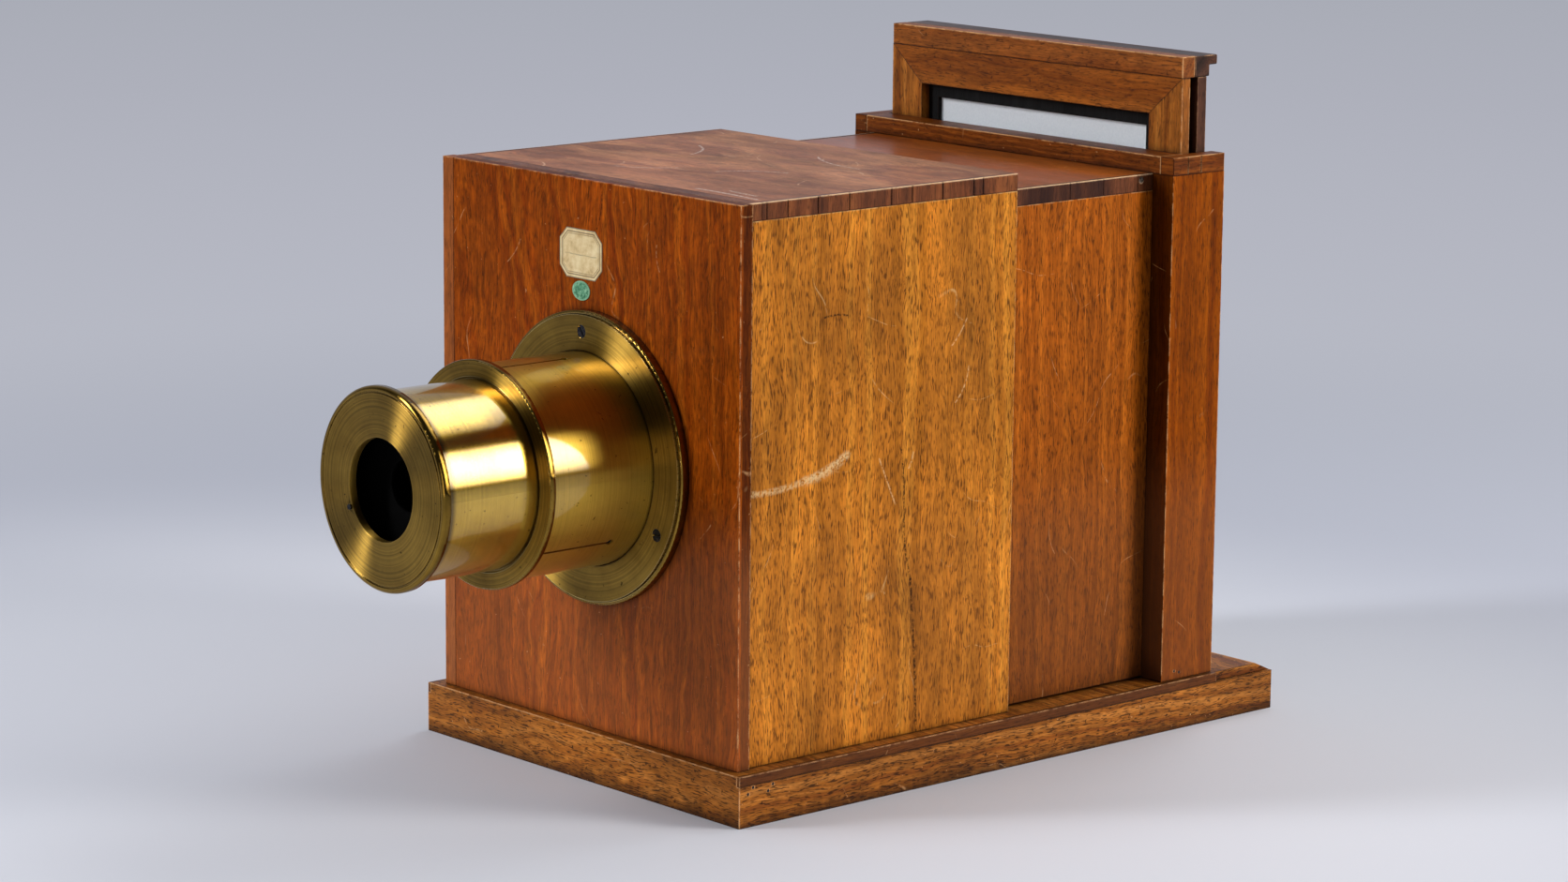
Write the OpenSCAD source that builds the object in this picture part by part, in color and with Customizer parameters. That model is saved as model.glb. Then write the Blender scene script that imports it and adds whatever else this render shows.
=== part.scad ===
// A sliding-box camera of the earliest kind, in millimetres. The lens looks towards -Y, +Z is up,
// and the origin is the middle of the underside of the base board. It is shown drawn out for use,
// with the ground-glass frame lifted part of the way out of its guide.

/* [Base board] */
// Width of the base board
base_w = 269; // [262:0.5:276]
// Length of the base board behind the plate guide, as drawn out
rear_l = 48; // [40:1:70]
// Thickness of the base board
base_h = 28; // [24:0.5:36]
// Distance from the front edge of the base board to the front panel
front_lip = 6; // [3:0.5:12]
// Width of the hardwood fillet let into each top edge
fillet_w = 2.1; // [1.5:0.1:2.6]
// Height of that fillet
fillet_h = 5.5; // [4:0.5:8]
// Depth of the bevel along the back edge
rear_bevel = 12; // [6:1:16]

/* [Front box] */
// Distance from the side of the base board to the side of the front box
box_margin = 11; // [10:0.5:13]
// Height of the front box above the base board
box_h = 300; // [290:1:315]
// Length of the front box behind the front panel
box_l = 192; // [180:1:200]
// Thickness of the box sides
wall_t = 7.5; // [6:0.5:9]
// Thickness of the box tops
top_t = 9.5; // [8:0.5:11]
// Thickness of the cross-grained edging round the tops
band_t = 3; // [2:0.5:4]
// Depth of the dark strip across the front of the top
front_strip = 8.5; // [6:0.5:12]

/* [Front panel] */
// Thickness of the front panel
panel_t = 8; // [7:0.5:12]
// How far the front panel stands out past the box on each side
panel_lap = 2.5; // [1:0.5:4]
// Width of the strip that makes up the left edge of the panel
edge_strip_w = 9.5; // [6:0.5:14]
// Sideways place of the lens, from the middle
lens_x = 6; // [-8:1:8]
// Height of the lens axis above the base board
lens_h = 150.5; // [145:0.5:155]

/* [Rear box] */
// Free gap between the two boxes, on each side and above
slide_gap = 0.5; // [0.3:0.1:1]
// Distance from the front box to the plate guide, as drawn out
drawn = 113; // [90:1:113]
// Length of the rear box that stays inside the front box
inner_hold = 62; // [50:1:65]
// Height of the rear box above the base board
inner_lift = 1; // [0.5:0.25:1.5]
// Thickness of the floor of the rear box
floor_t = 6; // [4:0.5:8]

/* [Plate guide] */
// Gap between a guide post and the inside of the fillet
post_gap = 0.9; // [0.5:0.1:1.5]
// Depth of the guide, front to back
guide_d = 41; // [40:0.5:44]
// Depth of the solid front part of the guide
guide_front_d = 18; // [15:0.5:20]
// Depth that each post is cut back behind the front part
post_pocket = 6; // [5:0.5:7]
// Thickness of the sill under the ground-glass frame
sill_t = 5.5; // [4.5:0.5:8]

/* [Ground-glass frame] */
// Distance that the frame is lifted, as shown
lifted = 54; // [20:1:80]
// Thickness of the front layer of the frame
front_layer = 6.25; // [5:0.25:7]
// Width of the groove in the edge of the frame
groove_w = 6.25; // [5.5:0.25:7]
// Thickness of the back layer of the frame
back_layer = 7; // [6:0.25:8]
// Depth of the groove in the edge of the frame
groove_d = 6; // [4:0.5:8]
// Width of the upright members
stile_w = 25.5; // [22:0.5:28]
// Height of the top rail below the cap
top_rail_h = 21.7; // [18:0.1:26]
// Height of the cap that closes the top of the frame
frame_cap_h = 12; // [10:0.5:14]
// Width of the black liner that shows inside the opening
liner_w = 8; // [5:0.5:11]
// Thickness of the ground glass
glass_t = 2.2; // [1.6:0.1:2.6]

/* [Lens mount] */
// Width of the flange round the barrel
flange_w = 22; // [19:0.5:24]
// Outer radius of the fixed barrel
barrel_r = 58; // [56:0.5:60]
// Length of the barrel in front of the panel
barrel_l = 74.5; // [66:0.5:80]
// How far the collar at the mouth of the barrel stands out round it
collar_w = 3.3; // [2.5:0.1:5]
// Number of slits in the barrel
slit_count = 3; // [2:1:4]
// Length of each slit, with its drilled hole
slit_l = 48.5; // [30:0.5:52]
// Free space between the barrel and the sliding tube, which the collar's sleeve fills
tube_space = 5; // [4:0.5:7]
// Length of the sliding tube behind the sleeve, as shown
tube_tail = 18; // [14:1:24]
// Wall of the sliding tube
tube_t = 2.5; // [2:0.25:3]
// Radial running gap between the sliding tube and the collar
tube_fit = 0.06; // [0.03:0.01:0.1]
// Distance from the panel to the front face of the stop plate, as shown
stop_h = 141.5; // [138:0.5:150]
// How far the stop plate stands out round the sliding tube
stop_w = 3.5; // [2.5:0.1:5]
// Radius of the hole in the stop plate
stop_hole_r = 27.4; // [20:0.2:32]
// Radius of the hole in the inner diaphragm
inner_stop_r = 14; // [8:0.5:18]
// Distance from the stop plate back to the inner diaphragm
inner_stop_depth = 14; // [10:1:30]
// Wall of the cell round the lens glass
cell_t = 7.95; // [6:0.05:10]

/* [Focus clamp] */
// Distance from the back of the guide to the clamp screw
clamp_back = 10; // [9.5:0.5:14]
// Radius of the clamp screw
clamp_r = 3; // [2.5:0.25:3.5]
// Radius of the knurled head
knob_r = 9; // [7:0.5:9]
// How far the rear box can still be drawn back from the place shown
draw_more = 16; // [0:1:18]

/* [Hidden] */
$fn = 96;
eps = 0.02;
saw = 0.35;

// Base and front box
base_l = front_lip + panel_t + box_l + drawn + guide_d + rear_l;
base_y0 = -base_l / 2;
base_y1 = base_l / 2;
panel_y0 = base_y0 + front_lip;
box_y0 = panel_y0 + panel_t;
box_y1 = box_y0 + box_l;
box_w = base_w - 2 * box_margin;
box_top = base_h + box_h;
panel_w = box_w + 2 * panel_lap;
pin_r = 0.8;
pin_l = 7;

// Rear box
inner_w = box_w - 2 * (wall_t + slide_gap);
inner_y0 = box_y1 - inner_hold;
inner_z0 = base_h + inner_lift;
inner_top = box_top - top_t - slide_gap;

// Plate guide
guide_w = base_w - 2 * (fillet_w + post_gap);
guide_y0 = box_y1 + drawn;
guide_y1 = guide_y0 + guide_d;
guide_mid = guide_y0 + guide_front_d;
guide_cap_h = box_top - inner_top;
foot_gap = 0.3;
sill_z0 = base_h + foot_gap;
sill_z1 = sill_z0 + sill_t;
pocket_w = inner_w + 2 * post_pocket;

// Ground-glass frame
side_play = 2.5;
frame_w = pocket_w - 2 * side_play;
frame_y0 = guide_mid + 0.5;
core_y0 = frame_y0 + front_layer;
back_y0 = core_y0 + groove_w;
back_y1 = back_y0 + back_layer;
frame_rest = sill_z1 + 0.2;
frame_z0 = frame_rest + lifted;
frame_z1 = box_top + lifted;
cap_z0 = frame_z1 - frame_cap_h;
lens_z = base_h + lens_h;
open_w = frame_w - 2 * stile_w;
open_z1 = cap_z0 - top_rail_h;
open_z0 = 2 * (lens_z + lifted) - open_z1;
rebate = 3.5;
liner_t = 2.7;
bead_w = 6;
bead_t = 3;
joint_gap = 0.05;
tongue_t = groove_w - 1;
tongue_y0 = core_y0 + 0.5;
tongue_x = frame_w / 2 - groove_d + 0.7;

// Lens mount, measured forwards from the face of the panel
flange_t = 6.5;
flange_r = barrel_r + flange_w;
collar_r = barrel_r + collar_w;
barrel_wall = 2;
barrel_bore = barrel_r - barrel_wall;
collar_t = 3.5;
collar_front = barrel_l + collar_t;
sleeve_l = 14.5;
stop_t = 4.5;
stop_spigot_l = 7;
stop_spigot_t = 2;
tube_front = stop_h - stop_t;
tube_back = barrel_l - sleeve_l - tube_tail;
tube_r = barrel_bore - tube_space;
stop_r = tube_r + stop_w;
tube_bore = tube_r - tube_t;
cell_r = tube_bore - 0.05;
glass_r = cell_r - cell_t;
cell_l = 16;
screw_ring_r = flange_r - 11.3;
screw_angle = 92;
slit_angle = -38;
slit_w = 1.1;
slit_hole_r = 1.75;
slit_end = barrel_l - slit_l;

// Focus clamp
clamp_y = guide_y1 + clamp_back;
plate_t = 2.5;
plate_w = 26;
slot_w = 2 * clamp_r + 1.2;
nut_w = 15.6;
nut_l = 22;
nut_t = 5.7;
channel_w = nut_w + 0.8;
channel_h = 9;
close_in = drawn - 1;

// A board between two corners, given as lowest and highest x, y and z
module board(x0, x1, y0, y1, z0, z1) {
    translate([x0, y0, z0])
        cube([x1 - x0, y1 - y0, z1 - z0]);
}

// Copies its children to the left side when side is -1
module on_side(side) {
    if (side > 0) {
        children();
    } else {
        mirror([1, 0, 0])
            children();
    }
}

// Puts children drawn along +Z on the lens axis, with z = 0 on the face of the panel
module on_lens_axis() {
    translate([lens_x, panel_y0, lens_z])
        rotate([90, 0, 0])
            children();
}

// A flat outline drawn in x and z, extruded from y0 to y1
module upright_outline(y0, y1) {
    translate([0, y1, 0])
        rotate([90, 0, 0])
            linear_extrude(y1 - y0)
                children();
}

// A ring between two radii and two heights
module ring(outer, inner, z0, z1) {
    translate([0, 0, z0])
        difference() {
            cylinder(r = outer, h = z1 - z0);
            translate([0, 0, -1])
                cylinder(r = inner, h = z1 - z0 + 2);
        }
}

// A countersunk screw that stands on z = 0 with its head upwards
module countersunk_screw(head_r, shank_r, length, slot) {
    difference() {
        union() {
            translate([0, 0, -length])
                cylinder(r = shank_r, h = length);
            translate([0, 0, -(head_r - shank_r)])
                cylinder(r1 = shank_r, r2 = head_r, h = head_r - shank_r);
        }
        rotate([0, 0, 35])
            translate([-head_r, -slot / 2, -slot])
                cube([2 * head_r, slot, slot + 1]);
    }
}

// The space that such a screw takes, a little wider
module countersunk_hole(head_r, shank_r, length) {
    translate([0, 0, -length - 0.2])
        cylinder(r = shank_r + eps, h = length + 1);
    translate([0, 0, -(head_r - shank_r)])
        cylinder(r1 = shank_r + eps, r2 = head_r + eps, h = head_r - shank_r);
    cylinder(r = head_r + eps, h = 2);
}

// Base board, fillets and pins

// Places of the small pins in the side of the base, as distance from the front and height below the top
base_pin_places = [[6, 10], [9.5, 6.8], [20, 10.4], [23.3, 7.2]];

module base_pin_group(grow) {
    for (side = [-1, 1])
        for (place = base_pin_places)
            translate([side * (base_w / 2 - pin_l), base_y0 + place[0], base_h - place[1]])
                rotate([0, side * 90, 0])
                    cylinder(r = pin_r + grow, h = pin_l + (grow > 0 ? 1 : 0), $fn = 24);
}

module base_board() {
    slot_y0 = clamp_y - close_in - clamp_r - 1;
    slot_y1 = clamp_y + draw_more + clamp_r + 1;
    nut_margin = nut_l / 2 - clamp_r + 0.5;
    color("saddlebrown")
        difference() {
            board(-base_w / 2, base_w / 2, base_y0, base_y1, 0, base_h);
            for (side = [-1, 1])
                on_side(side)
                    board(base_w / 2 - fillet_w, base_w / 2 + 1, base_y0 - 1, base_y1 + 1,
                        base_h - fillet_h, base_h + 1);
            // bevel along the back edge
            translate([-base_w / 2 - 1, 0, 0])
                rotate([90, 0, 90])
                    linear_extrude(base_w + 2)
                        polygon([
                            [base_y1 - rear_bevel, base_h],
                            [base_y1, base_h - fillet_h],
                            [base_y1 + 1, base_h - fillet_h],
                            [base_y1 + 1, base_h + 1],
                            [base_y1 - rear_bevel, base_h + 1]
                        ]);
            // slot for the clamp screw, and the channel for its nut underneath
            board(-slot_w / 2, slot_w / 2, slot_y0, slot_y1, -1, base_h + 1);
            board(-channel_w / 2, channel_w / 2, slot_y0 - nut_margin, slot_y1 + nut_margin, -1, channel_h);
            base_pin_group(eps);
        }
}

module base_fillet(side) {
    color("sienna")
        on_side(side)
            board(base_w / 2 - fillet_w, base_w / 2, base_y0, guide_y1 + 1.5, base_h - fillet_h, base_h);
}

module base_pins() {
    color("dimgray")
        base_pin_group(0);
}

// Front panel and front box

module front_panel() {
    color([0.48, 0.23, 0.08])
        difference() {
            board(-panel_w / 2 + edge_strip_w, panel_w / 2, panel_y0, box_y0, base_h, box_top);
            on_lens_axis() {
                translate([0, 0, -panel_t - 1])
                    cylinder(r = barrel_r + 0.2, h = panel_t + 2);
                at_flange_screws()
                    translate([0, 0, flange_t])
                        countersunk_hole(screw_head_r, screw_shank_r, screw_l);
            }
        }
}

module panel_edge_strip() {
    color([0.55, 0.28, 0.1])
        board(-panel_w / 2, -panel_w / 2 + edge_strip_w, panel_y0, box_y0, base_h, box_top);
}

module outer_side(side) {
    color([0.68, 0.42, 0.14])
        on_side(side)
            board(box_w / 2 - wall_t, box_w / 2, box_y0, box_y1, base_h, box_top - top_t);
}

module outer_top_board() {
    color([0.55, 0.36, 0.28])
        board(
            -box_w / 2 + band_t, box_w / 2 - band_t,
            box_y0 + front_strip, box_y1,
            box_top - top_t, box_top);
}

// Joints between the blocks of the edging, as distances from the front
outer_joints = [11.5, 26, 47, 69, 99, 114, 136, 159, 166];
inner_joints = [20, 56, 110, 136, 163];

// One length of edging along the right side, sawn part of the way at each joint
module edging(x1, y0, y1, z0, z1, start, joints) {
    difference() {
        board(x1 - band_t, x1, y0, y1, z0, z1);
        for (place = joints)
            if (start + place > y0 + 1 && start + place < y1 - 1)
                board(x1 - saw, x1 + 1, start + place, start + place + saw, z0 - 1, z1 + 1);
    }
}

module outer_top_banding() {
    color([0.3, 0.16, 0.1]) {
        for (side = [-1, 1])
            on_side(side)
                edging(box_w / 2, box_y0 + front_strip + joint_gap, box_y1, box_top - top_t, box_top,
                    box_y0, outer_joints);
        board(-box_w / 2, box_w / 2, box_y0, box_y0 + front_strip, box_top - top_t, box_top);
    }
}

// Rear box

module inner_side(side) {
    color([0.56, 0.32, 0.12])
        on_side(side)
            board(inner_w / 2 - wall_t, inner_w / 2, inner_y0, guide_mid, inner_z0, inner_top - top_t);
}

module inner_top_board() {
    color([0.5, 0.3, 0.2])
        board(-inner_w / 2 + band_t, inner_w / 2 - band_t, inner_y0, guide_mid, inner_top - top_t, inner_top);
}

module inner_top_banding() {
    color([0.28, 0.15, 0.1])
        difference() {
            for (side = [-1, 1])
                on_side(side)
                    edging(inner_w / 2, inner_y0, guide_mid, inner_top - top_t, inner_top,
                        inner_y0, inner_joints);
            top_screw_places()
                countersunk_hole(1.8, 0.9, top_screw_l);
        }
}

module inner_floor() {
    color([0.3, 0.2, 0.12])
        board(-inner_w / 2 + wall_t, inner_w / 2 - wall_t, inner_y0, guide_mid, inner_z0, inner_z0 + floor_t);
}

// A small screw through the edging on each side, close to the guide
top_screw_l = band_t - 0.4;
module top_screw_places() {
    for (side = [-1, 1])
        translate([side * inner_w / 2, guide_y0 - 9, inner_top - 3])
            rotate([0, side * 90, 0])
                children();
}

module top_screws() {
    color("gray")
        top_screw_places()
            countersunk_screw(1.8, 0.9, top_screw_l, 0.5);
}

// Plate guide at the back of the rear box

post_pin_places = [[10.5, 5.3], [14.4, 4.2]];

module post_pin_group(grow) {
    for (side = [-1, 1])
        for (place = post_pin_places)
            translate([side * (guide_w / 2 - pin_l), guide_y0 + place[0], base_h + place[1]])
                rotate([0, side * 90, 0])
                    cylinder(r = pin_r + grow, h = pin_l + (grow > 0 ? 1 : 0), $fn = 24);
}

module guide_post(side) {
    color([0.52, 0.27, 0.1])
        difference() {
            on_side(side)
                difference() {
                    board(inner_w / 2, guide_w / 2, guide_y0, guide_y1, sill_z0, inner_top);
                    board(inner_w / 2 - 1, pocket_w / 2, guide_mid, guide_y1 + 1, sill_z0 - 1, inner_top + 1);
                }
            post_pin_group(eps);
        }
}

module post_pins() {
    color("gray")
        post_pin_group(0);
}

// The tongue that runs in the groove of the ground-glass frame
module guide_tongue(side) {
    color([0.4, 0.2, 0.08])
        on_side(side)
            board(tongue_x, pocket_w / 2, tongue_y0, tongue_y0 + tongue_t,
                sill_z1, box_top - frame_cap_h - 0.5);
}

module guide_cap_front() {
    color([0.5, 0.24, 0.12])
        board(-pocket_w / 2, pocket_w / 2, guide_y0, guide_mid, inner_top, box_top);
}

// Joints across each side cap, as distances from the front of the guide
cap_joints = [11.6, 22];

module guide_cap_side(side) {
    color([0.42, 0.2, 0.12])
        on_side(side)
            difference() {
                board(pocket_w / 2, guide_w / 2, guide_y0, guide_y1, inner_top, box_top);
                for (place = cap_joints)
                    board(guide_w / 2 - saw, guide_w / 2 + 1, guide_y0 + place, guide_y0 + place + saw,
                        inner_top - 1, box_top + 1);
            }
}

module guide_sill() {
    color([0.4, 0.22, 0.1])
        difference() {
            board(-pocket_w / 2, pocket_w / 2, guide_mid, guide_y1, sill_z0, sill_z1);
            board(-plate_w / 2, plate_w / 2, guide_mid + 4, guide_y1 + 1, sill_z1 - plate_t, sill_z1 + 1);
            at_plate_screws()
                countersunk_hole(2.4, 1.2, plate_screw_l);
        }
}

// Focus clamp

plate_screw_l = sill_t - 0.6;
plate_screw_side = 7;
plate_screw_back = 12;
module at_plate_screws() {
    for (side = [-1, 1])
        translate([side * plate_screw_side, guide_mid + plate_screw_back, sill_z1])
            children();
}

module clamp_plate() {
    color("goldenrod")
        difference() {
            board(-plate_w / 2, plate_w / 2, guide_mid + 4, clamp_y + knob_r + 2, sill_z1 - plate_t, sill_z1);
            translate([0, clamp_y, sill_z0])
                cylinder(r = clamp_r + 0.05, h = sill_t + 1);
            at_plate_screws()
                countersunk_hole(2.4, 1.2, plate_screw_l);
        }
}

module clamp_plate_screws() {
    color("dimgray")
        at_plate_screws()
            countersunk_screw(2.4, 1.2, plate_screw_l, 0.6);
}

// The washer keeps the plate level while the screw is drawn tight
module clamp_washer() {
    color("goldenrod")
        translate([0, clamp_y, 0])
            ring(2.4 * clamp_r, clamp_r + 0.1, sill_z0, sill_z1 - plate_t);
}

module clamp_nut() {
    color("goldenrod")
        difference() {
            board(-nut_w / 2, nut_w / 2, clamp_y - nut_l / 2, clamp_y + nut_l / 2,
                channel_h - nut_t - 0.3, channel_h - 0.3);
            translate([0, clamp_y, 0])
                cylinder(r = clamp_r + 0.05, h = channel_h);
        }
}

module clamp_thumbscrew() {
    knurl = 24;
    knob_h = 10;
    knob_z = sill_z1 + 0.3;
    color("darkgoldenrod")
        translate([0, clamp_y, 0]) {
            translate([0, 0, channel_h - nut_t - 1.5])
                cylinder(r = clamp_r, h = knob_z - (channel_h - nut_t - 1.5));
            difference() {
                translate([0, 0, knob_z])
                    cylinder(r = knob_r, h = knob_h);
                for (turn = [0 : knurl - 1])
                    rotate([0, 0, turn * 360 / knurl])
                        translate([knob_r + 0.35, 0, knob_z + 2.2])
                            cylinder(r = 0.8, h = knob_h, $fn = 16);
                translate([0, 0, knob_z + knob_h - 1.2])
                    cylinder(r = knob_r - 3.4, h = 2);
            }
        }
}

// Ground-glass frame

// One mitred member of the front layer, drawn in x and z
module front_member(points) {
    color([0.6, 0.36, 0.14])
        upright_outline(frame_y0, core_y0)
            polygon(points);
}

module screen_stile(side) {
    on_side(side)
        front_member([
            [frame_w / 2, cap_z0],
            [open_w / 2, open_z1],
            [open_w / 2, open_z0],
            [frame_w / 2, frame_z0]
        ]);
}

module screen_rail_top() {
    front_member([
        [-frame_w / 2, cap_z0],
        [frame_w / 2, cap_z0],
        [open_w / 2, open_z1],
        [-open_w / 2, open_z1]
    ]);
}

module screen_rail_bottom() {
    front_member([
        [-frame_w / 2, frame_z0],
        [-open_w / 2, open_z0],
        [open_w / 2, open_z0],
        [frame_w / 2, frame_z0]
    ]);
}

// Four bars round an opening, as separate pieces: the uprights run the full height
module four_bars(half_w, z0, z1, in_w, in_z0, in_z1, y0, y1) {
    for (side = [-1, 1])
        on_side(side)
            board(in_w, half_w, y0, y1, z0, z1);
    board(-in_w + joint_gap, in_w - joint_gap, y0, y1, in_z1, z1);
    board(-in_w + joint_gap, in_w - joint_gap, y0, y1, z0, in_z0);
}

module screen_core() {
    color([0.34, 0.18, 0.08])
        four_bars(frame_w / 2 - groove_d, frame_z0, cap_z0,
            open_w / 2 + rebate, open_z0 - rebate, open_z1 + rebate, core_y0, back_y0);
}

module screen_back_stile(side) {
    color([0.26, 0.15, 0.1])
        on_side(side)
            board(open_w / 2 + rebate, frame_w / 2, back_y0, back_y1, frame_z0, cap_z0);
}

module screen_back_rail_top() {
    color([0.26, 0.15, 0.1])
        board(-open_w / 2 - rebate, open_w / 2 + rebate, back_y0, back_y1, open_z1 + rebate, cap_z0);
}

module screen_back_rail_bottom() {
    color([0.26, 0.15, 0.1])
        board(-open_w / 2 - rebate, open_w / 2 + rebate, back_y0, back_y1, frame_z0, open_z0 - rebate);
}

cap_split = 9.8;
cap_back = guide_y1 - 0.5;
module screen_cap_front() {
    color([0.6, 0.36, 0.14])
        board(-frame_w / 2, frame_w / 2, frame_y0, frame_y0 + cap_split, cap_z0, frame_z1);
}

// The back part of the cap has a lip to lift the frame by
module screen_cap_rear() {
    lip_d = 6;
    lip_h = 5.6;
    color([0.25, 0.16, 0.12]) {
        board(-frame_w / 2, frame_w / 2, frame_y0 + cap_split, cap_back, cap_z0, frame_z1);
        board(-frame_w / 2, frame_w / 2, cap_back - 1, cap_back + lip_d, frame_z1 - lip_h, frame_z1);
    }
}

module screen_liner() {
    color([0.08, 0.08, 0.08])
        four_bars(open_w / 2 + rebate - joint_gap, open_z0 - rebate + joint_gap, open_z1 + rebate - joint_gap,
            open_w / 2 - liner_w, open_z0 + liner_w, open_z1 - liner_w, core_y0, core_y0 + liner_t);
}

glass_y0 = core_y0 + liner_t + joint_gap;
module ground_glass() {
    edge = rebate - 0.3;
    color([0.72, 0.76, 0.8, 0.6])
        board(-open_w / 2 - edge, open_w / 2 + edge, glass_y0, glass_y0 + glass_t,
            open_z0 - edge, open_z1 + edge);
}

module glazing_beads() {
    y0 = glass_y0 + glass_t + joint_gap;
    color([0.3, 0.17, 0.09])
        four_bars(open_w / 2 + rebate - joint_gap, open_z0 - rebate + joint_gap, open_z1 + rebate - joint_gap,
            open_w / 2 + rebate - bead_w, open_z0 - rebate + bead_w, open_z1 + rebate - bead_w,
            y0, y0 + bead_t);
}

// Lens mount on the front panel

screw_head_r = 3.7;
screw_shank_r = 1.7;
screw_l = 12.5;
screw_sink = 0.2;
module at_flange_screws() {
    for (turn = [0 : 2])
        rotate([0, 0, screw_angle + 120 * turn])
            translate([screw_ring_r, 0, 0])
                children();
}

// The flange has a raised flat face inside a lower rounded rim
module lens_flange() {
    face_r = flange_r - 2.3;
    rim_h = 5.2;
    bead_r = 0.9;
    chamfer_w = 0.6;
    color("darkgoldenrod")
        difference() {
            rotate_extrude()
                union() {
                    translate([barrel_r + 0.05, 0])
                        square([flange_r - barrel_r - 0.05, rim_h - bead_r]);
                    translate([barrel_r + 0.05, 0])
                        square([flange_r - bead_r - barrel_r - 0.05, rim_h]);
                    translate([flange_r - bead_r, rim_h - bead_r])
                        circle(r = bead_r, $fn = 32);
                    translate([barrel_r + 0.05, 0])
                        square([face_r - barrel_r - 0.05, flange_t]);
                }
            // fine groove between the face and the rim
            ring(face_r + 0.6, face_r, rim_h - 0.8, flange_t + 1);
            // small chamfer round the barrel
            translate([0, 0, flange_t - chamfer_w])
                cylinder(r1 = barrel_r + 0.05, r2 = barrel_r + 0.15 + chamfer_w, h = chamfer_w + 0.1);
            at_flange_screws()
                translate([0, 0, flange_t])
                    countersunk_hole(screw_head_r, screw_shank_r, screw_l);
        }
}

module flange_screws() {
    color([0.12, 0.12, 0.14])
        at_flange_screws()
            translate([0, 0, flange_t - screw_sink])
                countersunk_screw(screw_head_r - screw_sink, screw_shank_r, screw_l - 2 * screw_sink, 0.8);
}

// The barrel is slit from its mouth so that it grips, and each slit ends in a drilled hole
module lens_barrel() {
    color("goldenrod")
        difference() {
            ring(barrel_r, barrel_bore, -panel_t, barrel_l);
            for (turn = [0 : slit_count - 1])
                rotate([0, 0, slit_angle + turn * 360 / slit_count]) {
                    translate([barrel_bore - 2, -slit_w / 2, slit_end])
                        cube([barrel_wall + 4, slit_w, barrel_l]);
                    translate([barrel_bore - 2, 0, slit_end])
                        rotate([0, 90, 0])
                            cylinder(r = slit_hole_r, h = barrel_wall + 4, $fn = 32);
                }
        }
}

// The collar closes the mouth of the barrel and carries the sliding tube in its sleeve
module barrel_collar() {
    bore = tube_r + tube_fit;
    edge_r = 0.8;
    recess_w = 1.2;
    recess_d = 1;
    color("darkgoldenrod")
        rotate_extrude()
            union() {
                translate([bore, barrel_l - sleeve_l])
                    square([barrel_bore - 0.05 - bore, sleeve_l + 0.5]);
                // the face is cut back a little where it meets the tube
                translate([bore, barrel_l])
                    square([collar_r - bore, collar_t - recess_d]);
                translate([bore + recess_w, barrel_l])
                    square([collar_r - edge_r - bore - recess_w, collar_t]);
                translate([collar_r - edge_r, barrel_l + collar_t - edge_r])
                    circle(r = edge_r, $fn = 32);
                translate([collar_r - edge_r, barrel_l])
                    square([edge_r, collar_t - edge_r]);
            }
}

// Sliding tube with the lens in it

module front_tube() {
    color("goldenrod")
        ring(tube_r, tube_bore, tube_back, tube_front);
}

// The stop plate has a rounded rim, a fine groove inside it and a central hole
module stop_plate() {
    rim_r = 1.9;
    groove_r = stop_r - 2 * rim_r;
    color("goldenrod")
        difference() {
            rotate_extrude()
                union() {
                    translate([stop_hole_r, tube_front])
                        square([stop_r - stop_hole_r, stop_t - rim_r]);
                    translate([stop_hole_r, tube_front])
                        square([stop_r - rim_r - stop_hole_r, stop_t]);
                    translate([stop_r - rim_r, tube_front + stop_t - rim_r])
                        circle(r = rim_r, $fn = 40);
                    translate([cell_r - stop_spigot_t, tube_front - stop_spigot_l])
                        square([stop_spigot_t, stop_spigot_l + 0.5]);
                }
            ring(groove_r + 0.9, groove_r, stop_h - 0.7, stop_h + 1);
            pivot_place()
                translate([0, 0, -stop_t - 1])
                    cylinder(r = pivot_r + eps, h = stop_t + 2, $fn = 24);
        }
}

// A small screw beside the hole
pivot_r = 1.5;
module pivot_place() {
    rotate([0, 0, -154])
        translate([stop_hole_r + 2.6, 0, stop_h])
            children();
}

module pivot_screw() {
    color([0.1, 0.1, 0.1])
        pivot_place() {
            translate([0, 0, -stop_t])
                cylinder(r = pivot_r, h = stop_t, $fn = 24);
            cylinder(r = pivot_r, h = 0.8, $fn = 24);
        }
}

module inner_diaphragm() {
    place = tube_front - inner_stop_depth;
    color([0.05, 0.05, 0.05]) {
        ring(cell_r, inner_stop_r, place, place + 1.2);
        ring(cell_r, cell_r - 1.5, place, tube_front - stop_spigot_l - joint_gap);
    }
}

// The cell holds the two lens elements against a lip, with a threaded ring behind them
cell_front = tube_back + cell_l;
module lens_cell() {
    color("goldenrod") {
        ring(cell_r, glass_r + 0.05, tube_back, cell_front);
        ring(glass_r + 0.3, glass_r - 2.5, cell_front - 1.5, cell_front);
    }
}

front_curve = 190;
inner_curve = 140;
pair_joint = tube_back + 6.5;
crown_front = cell_front - 1.55;

// Drop of a sphere of the given radius at the edge of the lens
function sagitta(curve) = curve - sqrt(curve * curve - glass_r * glass_r);

// The front element bulges both ways
module crown_element() {
    color([0.8, 0.88, 0.9, 0.4])
        intersection() {
            translate([0, 0, tube_back])
                cylinder(r = glass_r, h = cell_l);
            translate([0, 0, crown_front - front_curve])
                sphere(r = front_curve, $fn = 200);
            translate([0, 0, pair_joint - sagitta(inner_curve) + inner_curve])
                sphere(r = inner_curve, $fn = 200);
        }
}

// The back element is hollowed to take the front one and flat behind
module flint_element() {
    color([0.75, 0.85, 0.82, 0.4])
        difference() {
            translate([0, 0, tube_back + 2.1])
                cylinder(r = glass_r, h = pair_joint - tube_back - 2.1 - 0.05);
            translate([0, 0, pair_joint - sagitta(inner_curve) + inner_curve - 0.1])
                sphere(r = inner_curve, $fn = 200);
        }
}

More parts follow.
